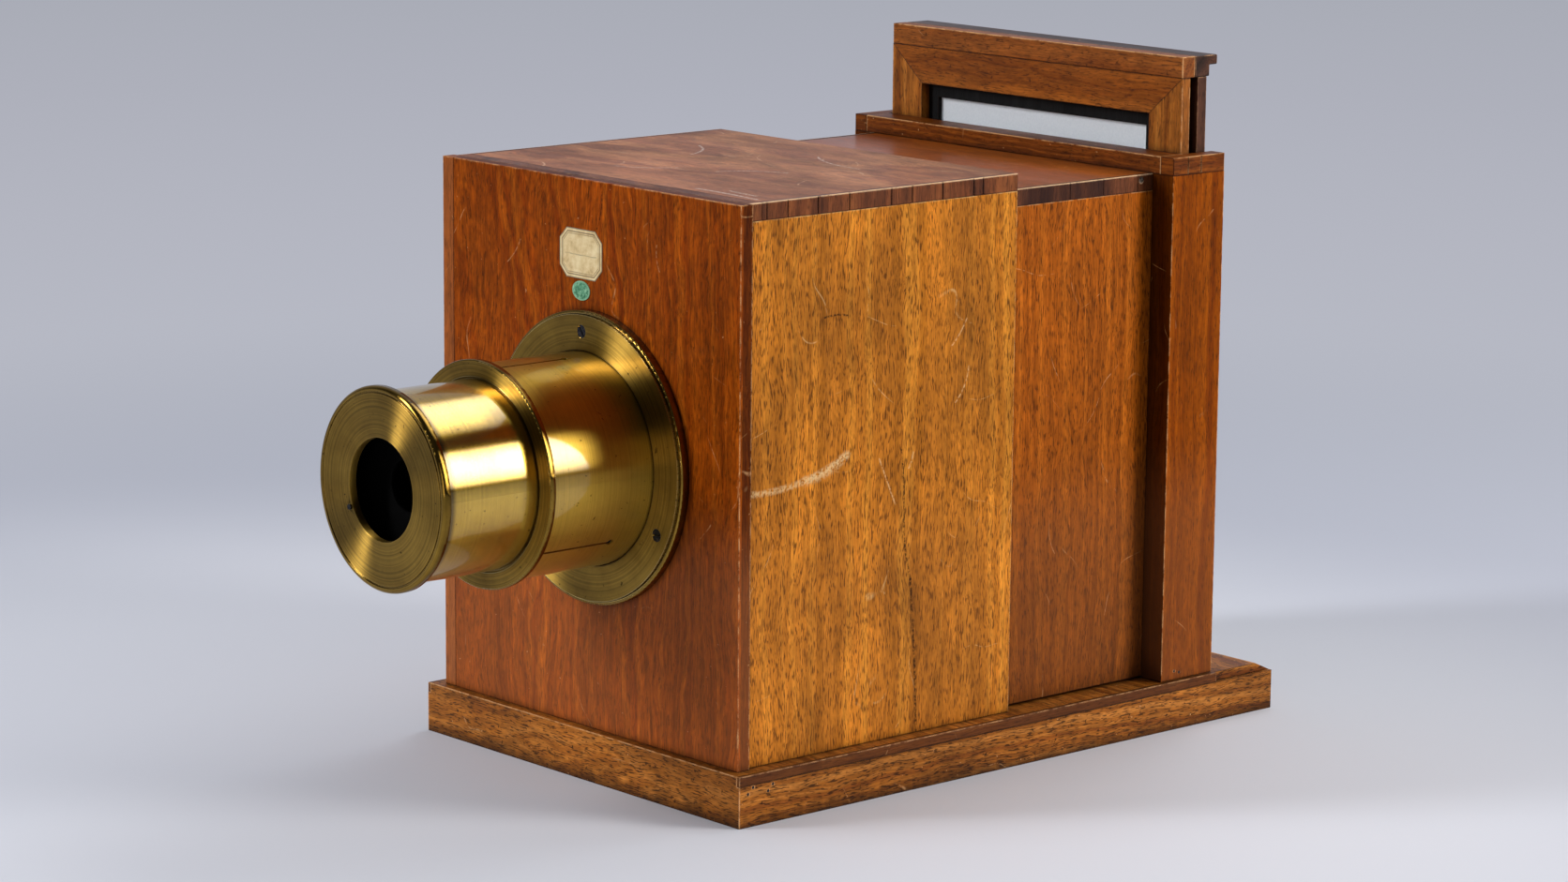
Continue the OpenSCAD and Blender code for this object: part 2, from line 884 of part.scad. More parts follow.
module cell_ring() {
    color("darkgoldenrod")
        ring(glass_r, glass_r - 3, tube_back, tube_back + 2);
}

// Paper on the front panel

// The label is a rectangle with its corners cut, and the seal is a small oval below it
seal_x = -4.1;
seal_a = 7.4;
seal_b = 5.3;
seal_gap = 3.9;
seal_mid_h = lens_h + flange_r + seal_gap + seal_b;
label_x = -4.5;
label_w = 36;
label_h = 27;
label_cut = 6;
label_gap = 1;
label_mid_h = seal_mid_h + seal_b + label_gap + label_h / 2;
paper_t = 0.2;

module on_panel(x, z) {
    translate([x, panel_y0, z])
        rotate([90, 0, 0])
            children();
}

module paper_label() {
    color([0.87, 0.78, 0.55])
        on_panel(label_x, base_h + label_mid_h)
            linear_extrude(paper_t)
                polygon([
                    [-label_w / 2 + label_cut, -label_h / 2],
                    [label_w / 2 - label_cut, -label_h / 2],
                    [label_w / 2, -label_h / 2 + label_cut],
                    [label_w / 2, label_h / 2 - label_cut],
                    [label_w / 2 - label_cut, label_h / 2],
                    [-label_w / 2 + label_cut, label_h / 2],
                    [-label_w / 2, label_h / 2 - label_cut],
                    [-label_w / 2, -label_h / 2 + label_cut]
                ]);
}

module green_seal() {
    color([0.4, 0.66, 0.5])
        on_panel(seal_x, base_h + seal_mid_h)
            linear_extrude(2 * paper_t)
                polygon([for (turn = [0 : 7.5 : 352.5]) [seal_a * cos(turn), seal_b * sin(turn)]]);
}

base_board();
base_fillet(-1);  // base_fillet_left
base_fillet(1);  // base_fillet_right
base_pins();
front_panel();
panel_edge_strip();
outer_side(-1);  // outer_side_left
outer_side(1);  // outer_side_right
outer_top_board();
outer_top_banding();
inner_side(-1);  // inner_side_left
inner_side(1);  // inner_side_right
inner_top_board();
inner_top_banding();
inner_floor();
top_screws();
guide_post(-1);  // guide_post_left
guide_post(1);  // guide_post_right
guide_tongue(-1);  // guide_tongue_left
guide_tongue(1);  // guide_tongue_right
guide_cap_front();
guide_cap_side(-1);  // guide_cap_left
guide_cap_side(1);  // guide_cap_right
guide_sill();
post_pins();
clamp_plate();
clamp_plate_screws();
clamp_washer();
clamp_nut();
clamp_thumbscrew();
screen_stile(-1);  // screen_stile_left
screen_stile(1);  // screen_stile_right
screen_rail_top();
screen_rail_bottom();
screen_core();
screen_back_stile(-1);  // screen_back_stile_left
screen_back_stile(1);  // screen_back_stile_right
screen_back_rail_top();
screen_back_rail_bottom();
screen_cap_front();
screen_cap_rear();
screen_liner();
ground_glass();
glazing_beads();
on_lens_axis() lens_flange();
on_lens_axis() flange_screws();
on_lens_axis() lens_barrel();
on_lens_axis() barrel_collar();
on_lens_axis() front_tube();
on_lens_axis() stop_plate();
on_lens_axis() pivot_screw();
on_lens_axis() inner_diaphragm();
on_lens_axis() lens_cell();
on_lens_axis() crown_element();
on_lens_axis() flint_element();
on_lens_axis() cell_ring();
paper_label();
green_seal();
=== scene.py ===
# %% [markdown]
# An early sliding-box camera
#
# The wooden boxes, the brass lens and the lifted ground-glass frame come from the CAD model with their
# real sizes. This lesson gives each of them its finish, sets the photographer's camera and lights it
# softly. The CAD pieces are never moved or cut: they only get modifiers and materials.

import math
from types import SimpleNamespace

import bpy
from mathutils import Matrix, Vector


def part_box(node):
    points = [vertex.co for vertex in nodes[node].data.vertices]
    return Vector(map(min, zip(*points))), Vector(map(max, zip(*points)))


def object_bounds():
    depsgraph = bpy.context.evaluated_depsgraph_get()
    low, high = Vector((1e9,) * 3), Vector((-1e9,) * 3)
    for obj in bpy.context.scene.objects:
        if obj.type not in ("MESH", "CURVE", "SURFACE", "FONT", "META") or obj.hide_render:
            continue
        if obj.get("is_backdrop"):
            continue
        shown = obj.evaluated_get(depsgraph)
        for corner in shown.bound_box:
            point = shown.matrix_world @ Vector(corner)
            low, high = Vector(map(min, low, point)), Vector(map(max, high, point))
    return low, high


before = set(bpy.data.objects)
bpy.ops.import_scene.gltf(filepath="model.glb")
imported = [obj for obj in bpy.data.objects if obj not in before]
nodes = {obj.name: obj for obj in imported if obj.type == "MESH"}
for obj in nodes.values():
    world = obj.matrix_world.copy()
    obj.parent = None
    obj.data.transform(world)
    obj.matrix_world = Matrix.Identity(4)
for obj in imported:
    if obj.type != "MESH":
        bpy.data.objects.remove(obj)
cad_low, cad_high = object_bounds()
print("pieces:", len(nodes), "box:", tuple(cad_low), tuple(cad_high))

# %% [markdown]
# The photographer's place
#
# The picture was taken with a long lens from in front and to one side, a little above. The place and
# the angles below were fitted to the corners of the boxes, so the render lines up with the photograph.
# A camera could also be aimed with a constraint, but three plain angles keep the view easy to read.

# %% Set the camera
PHOTO_WIDTH = 1672
FOCAL_LENGTH_PIXELS = 4884.1
SENSOR_WIDTH = 36.0
camera_place = Vector((1.8824, -1.7208, 0.6549))
azimuth = math.radians(48.511)
elevation = math.radians(10.943)
roll = math.radians(0.490)

camera_data = bpy.data.cameras.new("photo_camera")
camera_data.sensor_width = SENSOR_WIDTH
camera_data.lens = FOCAL_LENGTH_PIXELS / PHOTO_WIDTH * SENSOR_WIDTH
camera = bpy.data.objects.new("photo_camera", camera_data)
aim = Matrix.Rotation(azimuth, 4, "Z")
aim = aim @ Matrix.Rotation(math.pi / 2 - elevation, 4, "X")
aim = aim @ Matrix.Rotation(roll, 4, "Z")
camera.matrix_world = Matrix.Translation(camera_place) @ aim
bpy.context.scene.collection.objects.link(camera)
bpy.context.scene.camera = camera
bpy.context.scene.view_settings.view_transform = "Standard"
print("focal length in mm:", round(camera_data.lens, 1))

# %% [markdown]
# Colours and nodes
#
# Colours are easiest to pick as the hex codes of a paint program, but Blender mixes light in linear
# values. One function turns the codes to linear, and one adds a shader node with its settings. Its
# sockets are listed in the node's own order, or given by name or number where only some are wanted. A
# socket's value may be a number or a colour, which is set, or a node or one of its outputs, which is
# linked. So a Map Range has its value, the two ends that it comes from, and the two that it goes to.

# %% Helpers for colours and nodes
def linear(code):
    channels = [int(code[i : i + 2], 16) / 255 for i in (1, 3, 5)]
    curve = [c / 12.92 if c <= 0.04045 else ((c + 0.055) / 1.055) ** 2.4 for c in channels]
    return (*curve, 1.0)


def add(tree, kind, sockets=(), **settings):
    node = tree.nodes.new("ShaderNode" + kind)
    for name, value in settings.items():
        setattr(node, name, value)
    for key, value in sockets.items() if isinstance(sockets, dict) else enumerate(sockets):
        if isinstance(value, bpy.types.Node):
            value = next(output for output in value.outputs if output.enabled)
        if isinstance(value, bpy.types.NodeSocket):
            tree.links.new(value, node.inputs[key])
        else:
            node.inputs[key].default_value = value
    return node


def start_material(name):
    material = bpy.data.materials.new(name)
    material.use_nodes = True
    material.node_tree.nodes.clear()
    return material, material.node_tree


def set_stops(ramp, stops):
    elements = ramp.color_ramp.elements
    while len(elements) < len(stops):
        elements.new(0.5)
    for element, (place, code) in zip(elements, stops):
        element.position = place
        element.color = linear(code)


def give(material, *names):
    for name in names:
        for slot in nodes[name].material_slots:
            slot.material = material


# the Mix node has its two ends at these sockets: for numbers, for vectors and for colours
FROM_NUMBER, TO_NUMBER, FROM_VECTOR, TO_VECTOR, FROM_COLOUR, TO_COLOUR = range(2, 8)

print("mid grey is", round(linear("#808080")[0], 3), "in linear light")

# %% [markdown]
# Masks, layers and patterns
#
# An old surface is a stack: wood, pores, scratches, a painted floor reflection, wear and painted corner
# shade, each over the one below. A mask says how strongly a layer shows at a point, and a list of masks
# and colours is laid over the base colour in turn. A pattern is a noise whose place is counted in its own
# real sizes, or in mm with a scale of one over its size, and each board starts somewhere else in it, so
# that no two are alike. Painted images could do the same, but they have a fixed sharpness and need a
# flat map of every piece.

# %% Helpers for masks, layers and patterns
def joined(tree, operation, *values):
    """a row of values, joined one after the other"""
    result = values[0]
    for value in values[1:]:
        result = add(tree, "Math", [result, value], operation=operation)
    return result


def lay_over(tree, colour, layers):
    """the colour with each layer over it, given as a mask and a hex code"""
    for mask, code in layers:
        ends = {FROM_COLOUR: colour, TO_COLOUR: linear(code)}
        colour = add(tree, "Mix", {0: mask, **ends}, data_type="RGBA")
    return colour


def surface_in_mm(tree, origin=None):
    """the place on the surface in mm, counted from the frame's origin or from another point in m"""
    place = add(tree, "TexCoord").outputs["Object"]
    if origin is not None:
        place = add(tree, "VectorMath", [place, origin], operation="SUBTRACT")
    return add(tree, "VectorMath", {0: place, "Scale": 1000.0}, operation="SCALE")


def moved(tree, place, shift, steps):
    """a board's own place in a pattern: its shift says how many steps it starts away"""
    return add(tree, "VectorMath", [place, tuple(shift * step for step in steps)])


def counted(tree, place, sizes_mm):
    """the place counted in a pattern's sizes, so that a noise of scale 1 has them"""
    return add(tree, "VectorMath", [place, tuple(1 / size for size in sizes_mm)], operation="MULTIPLY")


print("a layer is a mask and a colour")

# %% [markdown]
# Soft arrises
#
# No board has a perfectly sharp edge, and after a century and a half of handling each one is rounded
# by half a millimetre or so. A bevel modifier does that without touching the mesh. The frame's meshes
# are split at their sharp edges, so a weld modifier joins them first, or the bevel would find nothing.
# The slit barrel stays as it is, because a bevel would make its highlight uneven round the slits.

# %% Round the edges of the boards
SAME_PLACE_M = 0.00001
SHARP_FROM = math.radians(40)


def soften(names, width_mm, segments=3):
    for name in names:
        weld = nodes[name].modifiers.new("join_edges", "WELD")
        weld.merge_threshold = SAME_PLACE_M
        bevel = nodes[name].modifiers.new("soft_arris", "BEVEL")
        bevel.width = width_mm / 1000
        bevel.segments = segments
        bevel.limit_method = "ANGLE"
        bevel.angle_limit = SHARP_FROM
        bevel.harden_normals = True


WORN_BOARDS = ("base_board", "guide_post_left", "guide_post_right", "screen_cap_rear")
PLAIN_BOARDS = (
    "front_panel", "panel_edge_strip", "outer_side_left", "outer_side_right", "outer_top_board",
    "outer_top_banding", "inner_side_left", "inner_side_right", "inner_top_board",
    "inner_top_banding", "guide_cap_front", "guide_cap_left", "guide_cap_right",
    "screen_cap_front", "guide_sill", "inner_floor", "base_fillet_left", "base_fillet_right",
)
MITRED_BOARDS = (
    "screen_stile_left", "screen_stile_right", "screen_rail_top", "screen_rail_bottom",
    "screen_back_stile_left", "screen_back_stile_right", "screen_back_rail_top",
    "screen_back_rail_bottom", "screen_core", "glazing_beads", "screen_liner",
    "guide_tongue_left", "guide_tongue_right",
)
soften(WORN_BOARDS, 0.9)
soften(PLAIN_BOARDS, 0.35)
soften(MITRED_BOARDS, 0.2)
soften(("clamp_plate", "clamp_nut", "ground_glass"), 0.3, 2)
soften(("lens_flange", "barrel_collar", "stop_plate"), 0.25, 2)
print("softened boards:", len(WORN_BOARDS) + len(PLAIN_BOARDS) + len(MITRED_BOARDS))

# %% [markdown]
# Old varnished wood: the figure
#
# The boards are veneered and solid walnut and mahogany under an old spirit varnish. The figure of a board
# is a cut through the rings of a tree: each ring is a long, slightly bent tube round the heart. So the
# distance of a point from the heart, squeezed along the grain, says which ring it lies in, and a heart
# close behind the board gives arches while a distant one gives nearly straight lines. Fine fibres and
# short dark pores follow. Both are really a fraction of a millimetre wide, too fine for this view, so
# they are drawn a few times as wide. One recipe makes every board, and the woods differ in its numbers.

# %% The place on a board
def board_axes(tree, grain, in_mm):
    """a point's three measures, and its place across a board, through it and along its grain"""
    axes = add(tree, "SeparateXYZ", [in_mm])
    orders = {"x": "YZX", "y": "XZY", "z": "XYZ"}
    laid = [add(tree, "CombineXYZ", [axes.outputs[axis] for axis in orders[way]]) for way in grain]
    if len(laid) == 1:
        return axes, laid[0]
    # two ways of the grain: the first on the faces that look along Y, the second on those along X
    facing = add(tree, "SeparateXYZ", [add(tree, "NewGeometry").outputs["True Normal"]])
    sideways = add(tree, "Math", [facing.outputs["X"]], operation="ABSOLUTE")
    ends = {FROM_VECTOR: laid[0], TO_VECTOR: laid[1]}
    return axes, add(tree, "Mix", {0: sideways, **ends}, data_type="VECTOR")


print("ways of the grain: x, y, z and xy")

# %% The rings, the fibres and the pores
NOISE_MEAN = (0.5, 0.5, 0.5)
SWAY_MM = (45.0, 45.0, 110.0)
FIBRE_MM = (1.1, 1.1, 30.0)
PORE_MM = (0.65, 0.65, 5.5)


def wood_figure(tree, wood, board):
    seed = moved(tree, board, wood.shift, (137.0, 61.0, 211.0))
    sway = add(tree, "TexNoise", {"Vector": counted(tree, seed, SWAY_MM), "Scale": 1.0, "Detail": 3.0,
        "Roughness": 0.55})
    centred = add(tree, "VectorMath", [sway.outputs["Color"], NOISE_MEAN], operation="SUBTRACT")
    widest = wood.wave_mm * 4
    swing = add(tree, "VectorMath", [centred, (widest, widest, 0.0)], operation="MULTIPLY")
    wavy = add(tree, "VectorMath", [board, swing])

    from_heart = add(tree, "VectorMath", [wavy, wood.heart], operation="SUBTRACT")
    squeezed = add(tree, "VectorMath", [from_heart, (1.0, 1.0, wood.squeeze)], operation="MULTIPLY")
    radius = add(tree, "VectorMath", [squeezed], operation="LENGTH")
    turn = add(tree, "Math", [radius, 1 / wood.ring_mm, wood.shift * 17.0], operation="MULTIPLY_ADD")
    rings = add(tree, "TexNoise", {"W": turn, "Scale": 1.0, "Detail": 3.5, "Roughness": 0.62},
        noise_dimensions="1D")
    fibre = add(tree, "TexNoise", {"Vector": counted(tree, wavy, FIBRE_MM), "Scale": 1.0, "Detail": 3.0,
        "Roughness": 0.6})
    pores = add(tree, "TexNoise", {"Vector": counted(tree, wavy, PORE_MM), "Scale": 1.0, "Detail": 1.0})
    return rings, fibre, pores


print("a pore is drawn", PORE_MM[0], "mm wide and", PORE_MM[2], "mm long")

# %% Patches and mottle
PATCH_MM = (42.0, 42.0, 120.0)
MOTTLE_STRETCH = 0.4


def unevenness(tree, wood, board, fibre):
    """large soft patches of polish and dirt, and the level of light and dark that all this leaves"""
    patch_place = moved(tree, counted(tree, board, PATCH_MM), wood.shift, (3.7, 8.3, 5.9))
    patch = add(tree, "TexNoise", {"Vector": patch_place, "Scale": 1.0, "Detail": 6.0, "Roughness": 0.62,
        "Distortion": 0.3})
    patch_level = add(tree, "MapRange", [patch, 0.32, 0.68, *wood.patch_range])
    mottle_sizes = (wood.mottle_mm, wood.mottle_mm, wood.mottle_mm / MOTTLE_STRETCH)
    mottle = add(tree, "TexNoise", {"Vector": counted(tree, board, mottle_sizes), "Scale": 1.0,
        "Detail": 5.0, "Roughness": 0.65, "Distortion": 0.8})
    mottle_level = add(tree, "MapRange", [mottle, 0.32, 0.68, 1.0 - wood.mottled, 1.0 + wood.mottled])
    fibre_level = add(tree, "MapRange", [fibre, 0.3, 0.7, *wood.fibre_range])
    return patch, joined(tree, "MULTIPLY", mottle_level, patch_level, fibre_level)


print("a patch is drawn", PATCH_MM[0], "mm wide and", PATCH_MM[2], "mm long")

# %% [markdown]
# Scratches, dents and chips
#
# A scratch is a thin bowed line. Here it is drawn by arithmetic on the surface: each point is compared
# with the nearest point of the line, and the nearer it lies the stronger the mark. Thin ribbons of mesh
# would do too, but a mark that is part of the finish can't lift off when the model is reused. The marks
# that catch the eye are set one by one. The many faint scratches are strewn by chance: the surface is
# cut into cells, and some of the cells have one line through their middle.

# %% A bowed line on a flat board
def line_mark(tree, flat, start, end, bow_mm, width_mm):
    run = Vector((end[0] - start[0], end[1] - start[1], 0.0))
    across = Vector((-run.y, run.x, 0.0)).normalized()
    from_start = add(tree, "VectorMath", [flat, (*start, 0.0)], operation="SUBTRACT")
    along = add(tree, "VectorMath", [from_start, run], operation="DOT_PRODUCT")
    share = add(tree, "Math", [along, 1 / run.length_squared], operation="MULTIPLY", use_clamp=True)
    rest = add(tree, "Math", [1.0, share], operation="SUBTRACT")
    # share times rest is a quarter at the middle of the line, where the bow is widest
    curve = add(tree, "Math", [share, rest], operation="MULTIPLY")
    bow = add(tree, "VectorMath", {0: across * bow_mm * 4, "Scale": curve}, operation="SCALE")
    straight = add(tree, "VectorMath", {0: run, "Scale": share}, operation="SCALE")
    nearest = add(tree, "VectorMath", [straight, bow], operation="ADD")
    gap = add(tree, "VectorMath", [from_start, nearest], operation="DISTANCE")
    return add(tree, "MapRange", [gap, width_mm, width_mm * 0.2], interpolation_type="SMOOTHSTEP")


print("a line is full over a fifth of its width")

# %% Faint scratches strewn by chance
SCRATCH_CELL_MM = 26.0
BEND_MM = 40.0
BEND_EVERY_MM = 45.0
GAP_MM = 6.0


def scratches(tree, wood, in_mm):
    place = moved(tree, in_mm, wood.shift, (91.0, 47.0, 29.0))
    bend = add(tree, "TexNoise", {"Vector": place, "Scale": 1 / BEND_EVERY_MM, "Detail": 1.0})
    bent = add(tree, "VectorMath", [bend.outputs["Color"], (BEND_MM, BEND_MM, BEND_MM), place],
        operation="MULTIPLY_ADD")
    cells = add(tree, "TexVoronoi", {"Vector": bent, "Scale": 1 / SCRATCH_CELL_MM})
    from_seed = add(tree, "VectorMath", [bent, cells.outputs["Position"]], operation="SUBTRACT")
    chance = add(tree, "VectorMath", [cells.outputs["Color"], NOISE_MEAN], operation="SUBTRACT")
    way = add(tree, "VectorMath", [chance], operation="NORMALIZE")
    across = add(tree, "VectorMath", [from_seed, way], operation="DOT_PRODUCT")
    apart = add(tree, "Math", [across], operation="ABSOLUTE")
    line = add(tree, "MapRange", [apart, wood.scratch_mm / 2, wood.scratch_mm / 8])
    length = add(tree, "VectorMath", [from_seed], operation="LENGTH")
    reach = add(tree, "MapRange", [length, SCRATCH_CELL_MM * 0.55, SCRATCH_CELL_MM * 0.25])
    draw = add(tree, "SeparateXYZ", [cells.outputs["Color"]]).outputs["X"]
    kept = add(tree, "Math", [draw, wood.scratch_share], operation="LESS_THAN")
    worn_off = add(tree, "TexNoise", {"Vector": place, "Scale": 1 / GAP_MM, "Detail": 3.0,
        "Roughness": 0.7})
    left = add(tree, "MapRange", [worn_off, 0.42, 0.58, 0.0, wood.scratched])
    return joined(tree, "MULTIPLY", line, reach, kept, left)


print("cells for the scratches:", SCRATCH_CELL_MM, "mm")

# %% Listed marks, dents and chips
DENT_COLOUR = "#1d0e05"
GRIT_MM = 1.6
DENT_MM = 3.2
CHIP_MM = 3.0


def damage(tree, wood, in_mm, axes):
    """the board's own marks and its strewn dents and chips, as layers"""
    layers = []
    for code, strength, lines in wood.marks:
        flat = add(tree, "CombineXYZ", [axes.outputs[axis] for axis in wood.marks_on])
        grit = add(tree, "TexNoise", {"Vector": in_mm, "Scale": 1 / GRIT_MM, "Detail": 3.0})
        broken = add(tree, "MapRange", [grit, 0.36, 0.58, 0.0, strength])
        here = add(tree, "Math", [axes.outputs["X"], wood.marks_from_x], operation="GREATER_THAN")
        for line in lines:
            layers.append((joined(tree, "MULTIPLY", line_mark(tree, flat, *line), here, broken), code))

    strewn = moved(tree, in_mm, wood.shift, (37.0, 83.0, 59.0))
    if wood.dented > 0.0:
        dent = add(tree, "TexNoise", {"Vector": strewn, "Scale": 1 / DENT_MM, "Detail": 3.0})
        dents = add(tree, "MapRange", [dent, 0.66, 0.72, 0.0, wood.dented])
        layers.append((dents, DENT_COLOUR))
    if wood.chipped > 0.0:
        elsewhere = add(tree, "VectorMath", [strewn, (311.0, 97.0, 53.0)])
        chip = add(tree, "TexNoise", {"Vector": elsewhere, "Scale": 1 / CHIP_MM, "Detail": 4.0})
        chips = add(tree, "MapRange", [chip, 0.70, 0.74, 0.0, wood.chipped])
        layers.append((chips, wood.worn))
    return layers


print("dents are filled with", DENT_COLOUR)

# %% [markdown]
# Wear, seams and painted shade
#
# The arrises that stick out are rubbed pale, and the joints between two boards are thin dark lines of
# old glue. Both are found from a rounded normal: on an arris it points between two of the box's
# directions. Where it points away from the middle of the box the wood is rubbed, and any other arris
# is a joint. The colour could be painted on by hand, but this way it follows if a board changes size.
# A painted reflection of the pale floor dulls the wood low down, and painted shade darkens the corners
# where little light reaches.

# %% Rubbed arrises and dark seams
ARRIS_RADIUS_M = 0.0012
RUB_MM = 7.0


def arrises_and_seams(tree, wood, in_mm, axes):
    """masks of the rubbed arrises and of the seams, and the way outward from the middle"""
    rounded = add(tree, "Bevel", {"Radius": ARRIS_RADIUS_M}, samples=6)
    from_middle = add(tree, "VectorMath", [in_mm, wood.middle_mm], operation="SUBTRACT")
    outward = add(tree, "VectorMath", [from_middle], operation="SIGN")
    out_normal = add(tree, "VectorMath", [rounded, outward], operation="MULTIPLY")
    out_x, out_y = add(tree, "SeparateXYZ", [out_normal]).outputs[:2]
    sideways, lengthways, up = add(tree, "SeparateXYZ", [rounded]).outputs
    if not wood.one_sided:
        out_y = add(tree, "Math", [lengthways], operation="ABSOLUTE")
    rubbed = []
    for share, one, other in zip(wood.worn_arrises, (out_x, out_x, out_y), (out_y, up, up)):
        raised = [add(tree, "Math", [value, 0.0], operation="MAXIMUM") for value in (one, other)]
        rubbed.append(joined(tree, "MULTIPLY", *raised, share))
    edge = add(tree, "MapRange", [joined(tree, "MAXIMUM", *rubbed), *wood.worn_line])
    turned = []
    for one, other in ((sideways, lengthways), (sideways, up), (lengthways, up)):
        pair = add(tree, "Math", [one, other], operation="MULTIPLY")
        turned.append(add(tree, "Math", [pair], operation="ABSOLUTE"))
    bent = add(tree, "MapRange", [joined(tree, "MAXIMUM", *turned), 0.22, 0.38, 0.0, 0.85])

    # a bevel at the back is no arris
    in_front = add(tree, "Math", [axes.outputs["Y"], wood.no_wear_behind], operation="LESS_THAN")
    edge = add(tree, "Math", [edge, in_front], operation="MULTIPLY")
    free = add(tree, "Math", [1.0, edge], operation="SUBTRACT")
    seam = joined(tree, "MULTIPLY", bent, in_front, free)
    rub = add(tree, "TexNoise", {"Vector": in_mm, "Scale": 1 / RUB_MM, "Detail": 6.0, "Roughness": 0.7})
    rub_level = add(tree, "MapRange", [rub, wood.worn_from, wood.worn_from + 0.16, 0.0, wood.worn_amount])
    return add(tree, "Math", [edge, rub_level], operation="MULTIPLY"), seam, outward


print("arrises are rubbed within", ARRIS_RADIUS_M * 1000, "mm")

# %% [markdown]
# Old varnished wood: the recipe
#
# The parts above come together here. Fresh varnish is a clear coat with a sharp highlight. A century
# and a half have dulled it, so most of the gloss is broad and weak, and it changes from patch to patch.
# The pores are tiny pits and the varnish is a little wavy: two bumps, one inside the other, give that.
# The faces that look into the boxes are stained black against stray light. The CAD piece is one solid,
# so the recipe finds them by their normal, which points back to the middle of the box.

# %% What a board has unless it says otherwise
BOX_MIDDLE_MM = (0.0, -30.0, 170.0)
USUAL_BOARD = dict(
    # distance of the rings, how far they wander, and how the figure is drawn out along the grain
    ring_mm=6.0, wave_mm=5.0, squeeze=0.10,
    # strength of the pores and where in their noise they start, and the darkest and palest fibre
    pore_amount=0.6, pore_from=0.56, fibre_range=(0.70, 1.26),
    # darkest and palest patch, strength and size of the mottle, the painted floor reflection low down, and
    # an own shade
    patch_range=(0.80, 1.16), mottled=0.12, mottle_mm=7.0, dusty=0.0, shade=None,
    # strength of the strewn scratches, the share of cells that have one, and their width
    scratched=0.5, scratch_share=0.35, scratch_mm=0.7,
    # marks listed one by one, the plane that they are drawn on, and the X from which they show
    marks=(), marks_on="YZ", marks_from_x=-1000.0,
    # strength of the dents and of the chips
    dented=0.0, chipped=0.0,
    # wear on the arrises between X and Y, X and Z, and Y and Z, and where it starts and is full
    worn_arrises=(1.0, 1.0, 1.0), worn_line=(0.14, 0.34), worn_amount=0.8, worn_from=0.42,
    # the point that the outer faces look away from, whether along Y only the side away from it is
    # worn, and the Y behind which nothing is
    middle_mm=BOX_MIDDLE_MM, one_sided=False, no_wear_behind=1000.0,
    # how far the painted corner shade reaches out of a corner, and how far inward a blackened face looks
    dirt_mm=7.0, inside_below=-2.0,
    # the old varnish
    roughness=0.38, coat=0.03, specular=0.10,
)
print("numbers that a board may change:", len(USUAL_BOARD))

# %% The recipe for varnished wood
# the colour of a painted reflection of the pale floor on the lower wood
FLOOR_REFLECTION_COLOUR = "#a06a45"
SEAM_COLOUR = "#1a0b05"
# the colour of the painted shade in corners
CORNER_SHADE_COLOUR = "#170a04"
INSIDE_BLACK = "#0c0b0a"
WOOD_IOR = 1.5
VARNISH_IOR = 1.52
REFLECTION_FROM_MM, REFLECTION_FULL_MM = 175.0, 115.0
PIT_DEPTH_M = 0.0002
RIPPLE_MM = 22.0
RIPPLE_DEPTH_M = 0.0015


def varnished_wood(name, grain, tones, pore, worn, heart, shift, **own):
    wood = SimpleNamespace(worn=worn, heart=heart, shift=shift, **{**USUAL_BOARD, **own})
    material, tree = start_material(name)
    in_mm = surface_in_mm(tree)
    axes, board = board_axes(tree, grain, in_mm)
    rings, fibre, pores = wood_figure(tree, wood, board)
    patch, level = unevenness(tree, wood, board, fibre)
    if wood.shade is not None:
        level = add(tree, "Math", [level, wood.shade(tree, axes)], operation="MULTIPLY")
    tone = add(tree, "ValToRGB", [rings])
    set_stops(tone, tuple(zip((0.30, 0.50, 0.70), tones)))
    toned = add(tree, "HueSaturation", {"Color": tone, "Value": level})

    pore_mask = add(tree, "MapRange", [pores, wood.pore_from, wood.pore_from + 0.1, 0.0,
        wood.pore_amount])
    layers = [(pore_mask, pore), (scratches(tree, wood, in_mm), worn)]
    # painted reflection: the lower wood is paled towards the colour of the floor's reflection
    if wood.dusty > 0.0:
        low = add(tree, "MapRange", [axes.outputs["Z"], REFLECTION_FROM_MM, REFLECTION_FULL_MM, 0.0, wood.dusty],
            interpolation_type="SMOOTHSTEP")
        layers.append((low, FLOOR_REFLECTION_COLOUR))
    layers += damage(tree, wood, in_mm, axes)
    rubbed, seam, outward = arrises_and_seams(tree, wood, in_mm, axes)
    # painted shade: ambient occlusion darkens the corners that little light reaches
    corner = add(tree, "AmbientOcclusion", {"Distance": wood.dirt_mm / 1000}, samples=8)
    corner_shade = add(tree, "MapRange", [corner.outputs["AO"], 0.80, 0.30, 0.0, 0.75])
    facing = add(tree, "NewGeometry").outputs["True Normal"]
    looks = add(tree, "VectorMath", [outward, facing], operation="DOT_PRODUCT")
    inward = add(tree, "Math", [looks, wood.inside_below], operation="LESS_THAN")
    layers += [(seam, SEAM_COLOUR), (rubbed, worn), (corner_shade, CORNER_SHADE_COLOUR), (inward, INSIDE_BLACK)]

    relief = add(tree, "Math", [pore_mask, -1.0, fibre], operation="MULTIPLY_ADD")
    pits = add(tree, "Bump", {"Height": relief, "Strength": 0.25, "Distance": PIT_DEPTH_M})
    ripple = add(tree, "TexNoise", {"Vector": in_mm, "Scale": 1 / RIPPLE_MM, "Detail": 2.0})
    waves = add(tree, "Bump", {"Height": ripple, "Strength": 0.12, "Distance": RIPPLE_DEPTH_M,
        "Normal": pits})
    gloss = add(tree, "MapRange", [patch, 0.3, 0.7, wood.roughness + 0.10, wood.roughness - 0.06])
    shader = add(tree, "BsdfPrincipled", {"Base Color": lay_over(tree, toned, layers), "Roughness": gloss,
        "Normal": waves, "IOR": WOOD_IOR, "Specular IOR Level": wood.specular, "Coat Weight": wood.coat,
        "Coat Roughness": 0.14, "Coat IOR": VARNISH_IOR})
    add(tree, "OutputMaterial", {"Surface": shader})
    return material


print("recipe ready")
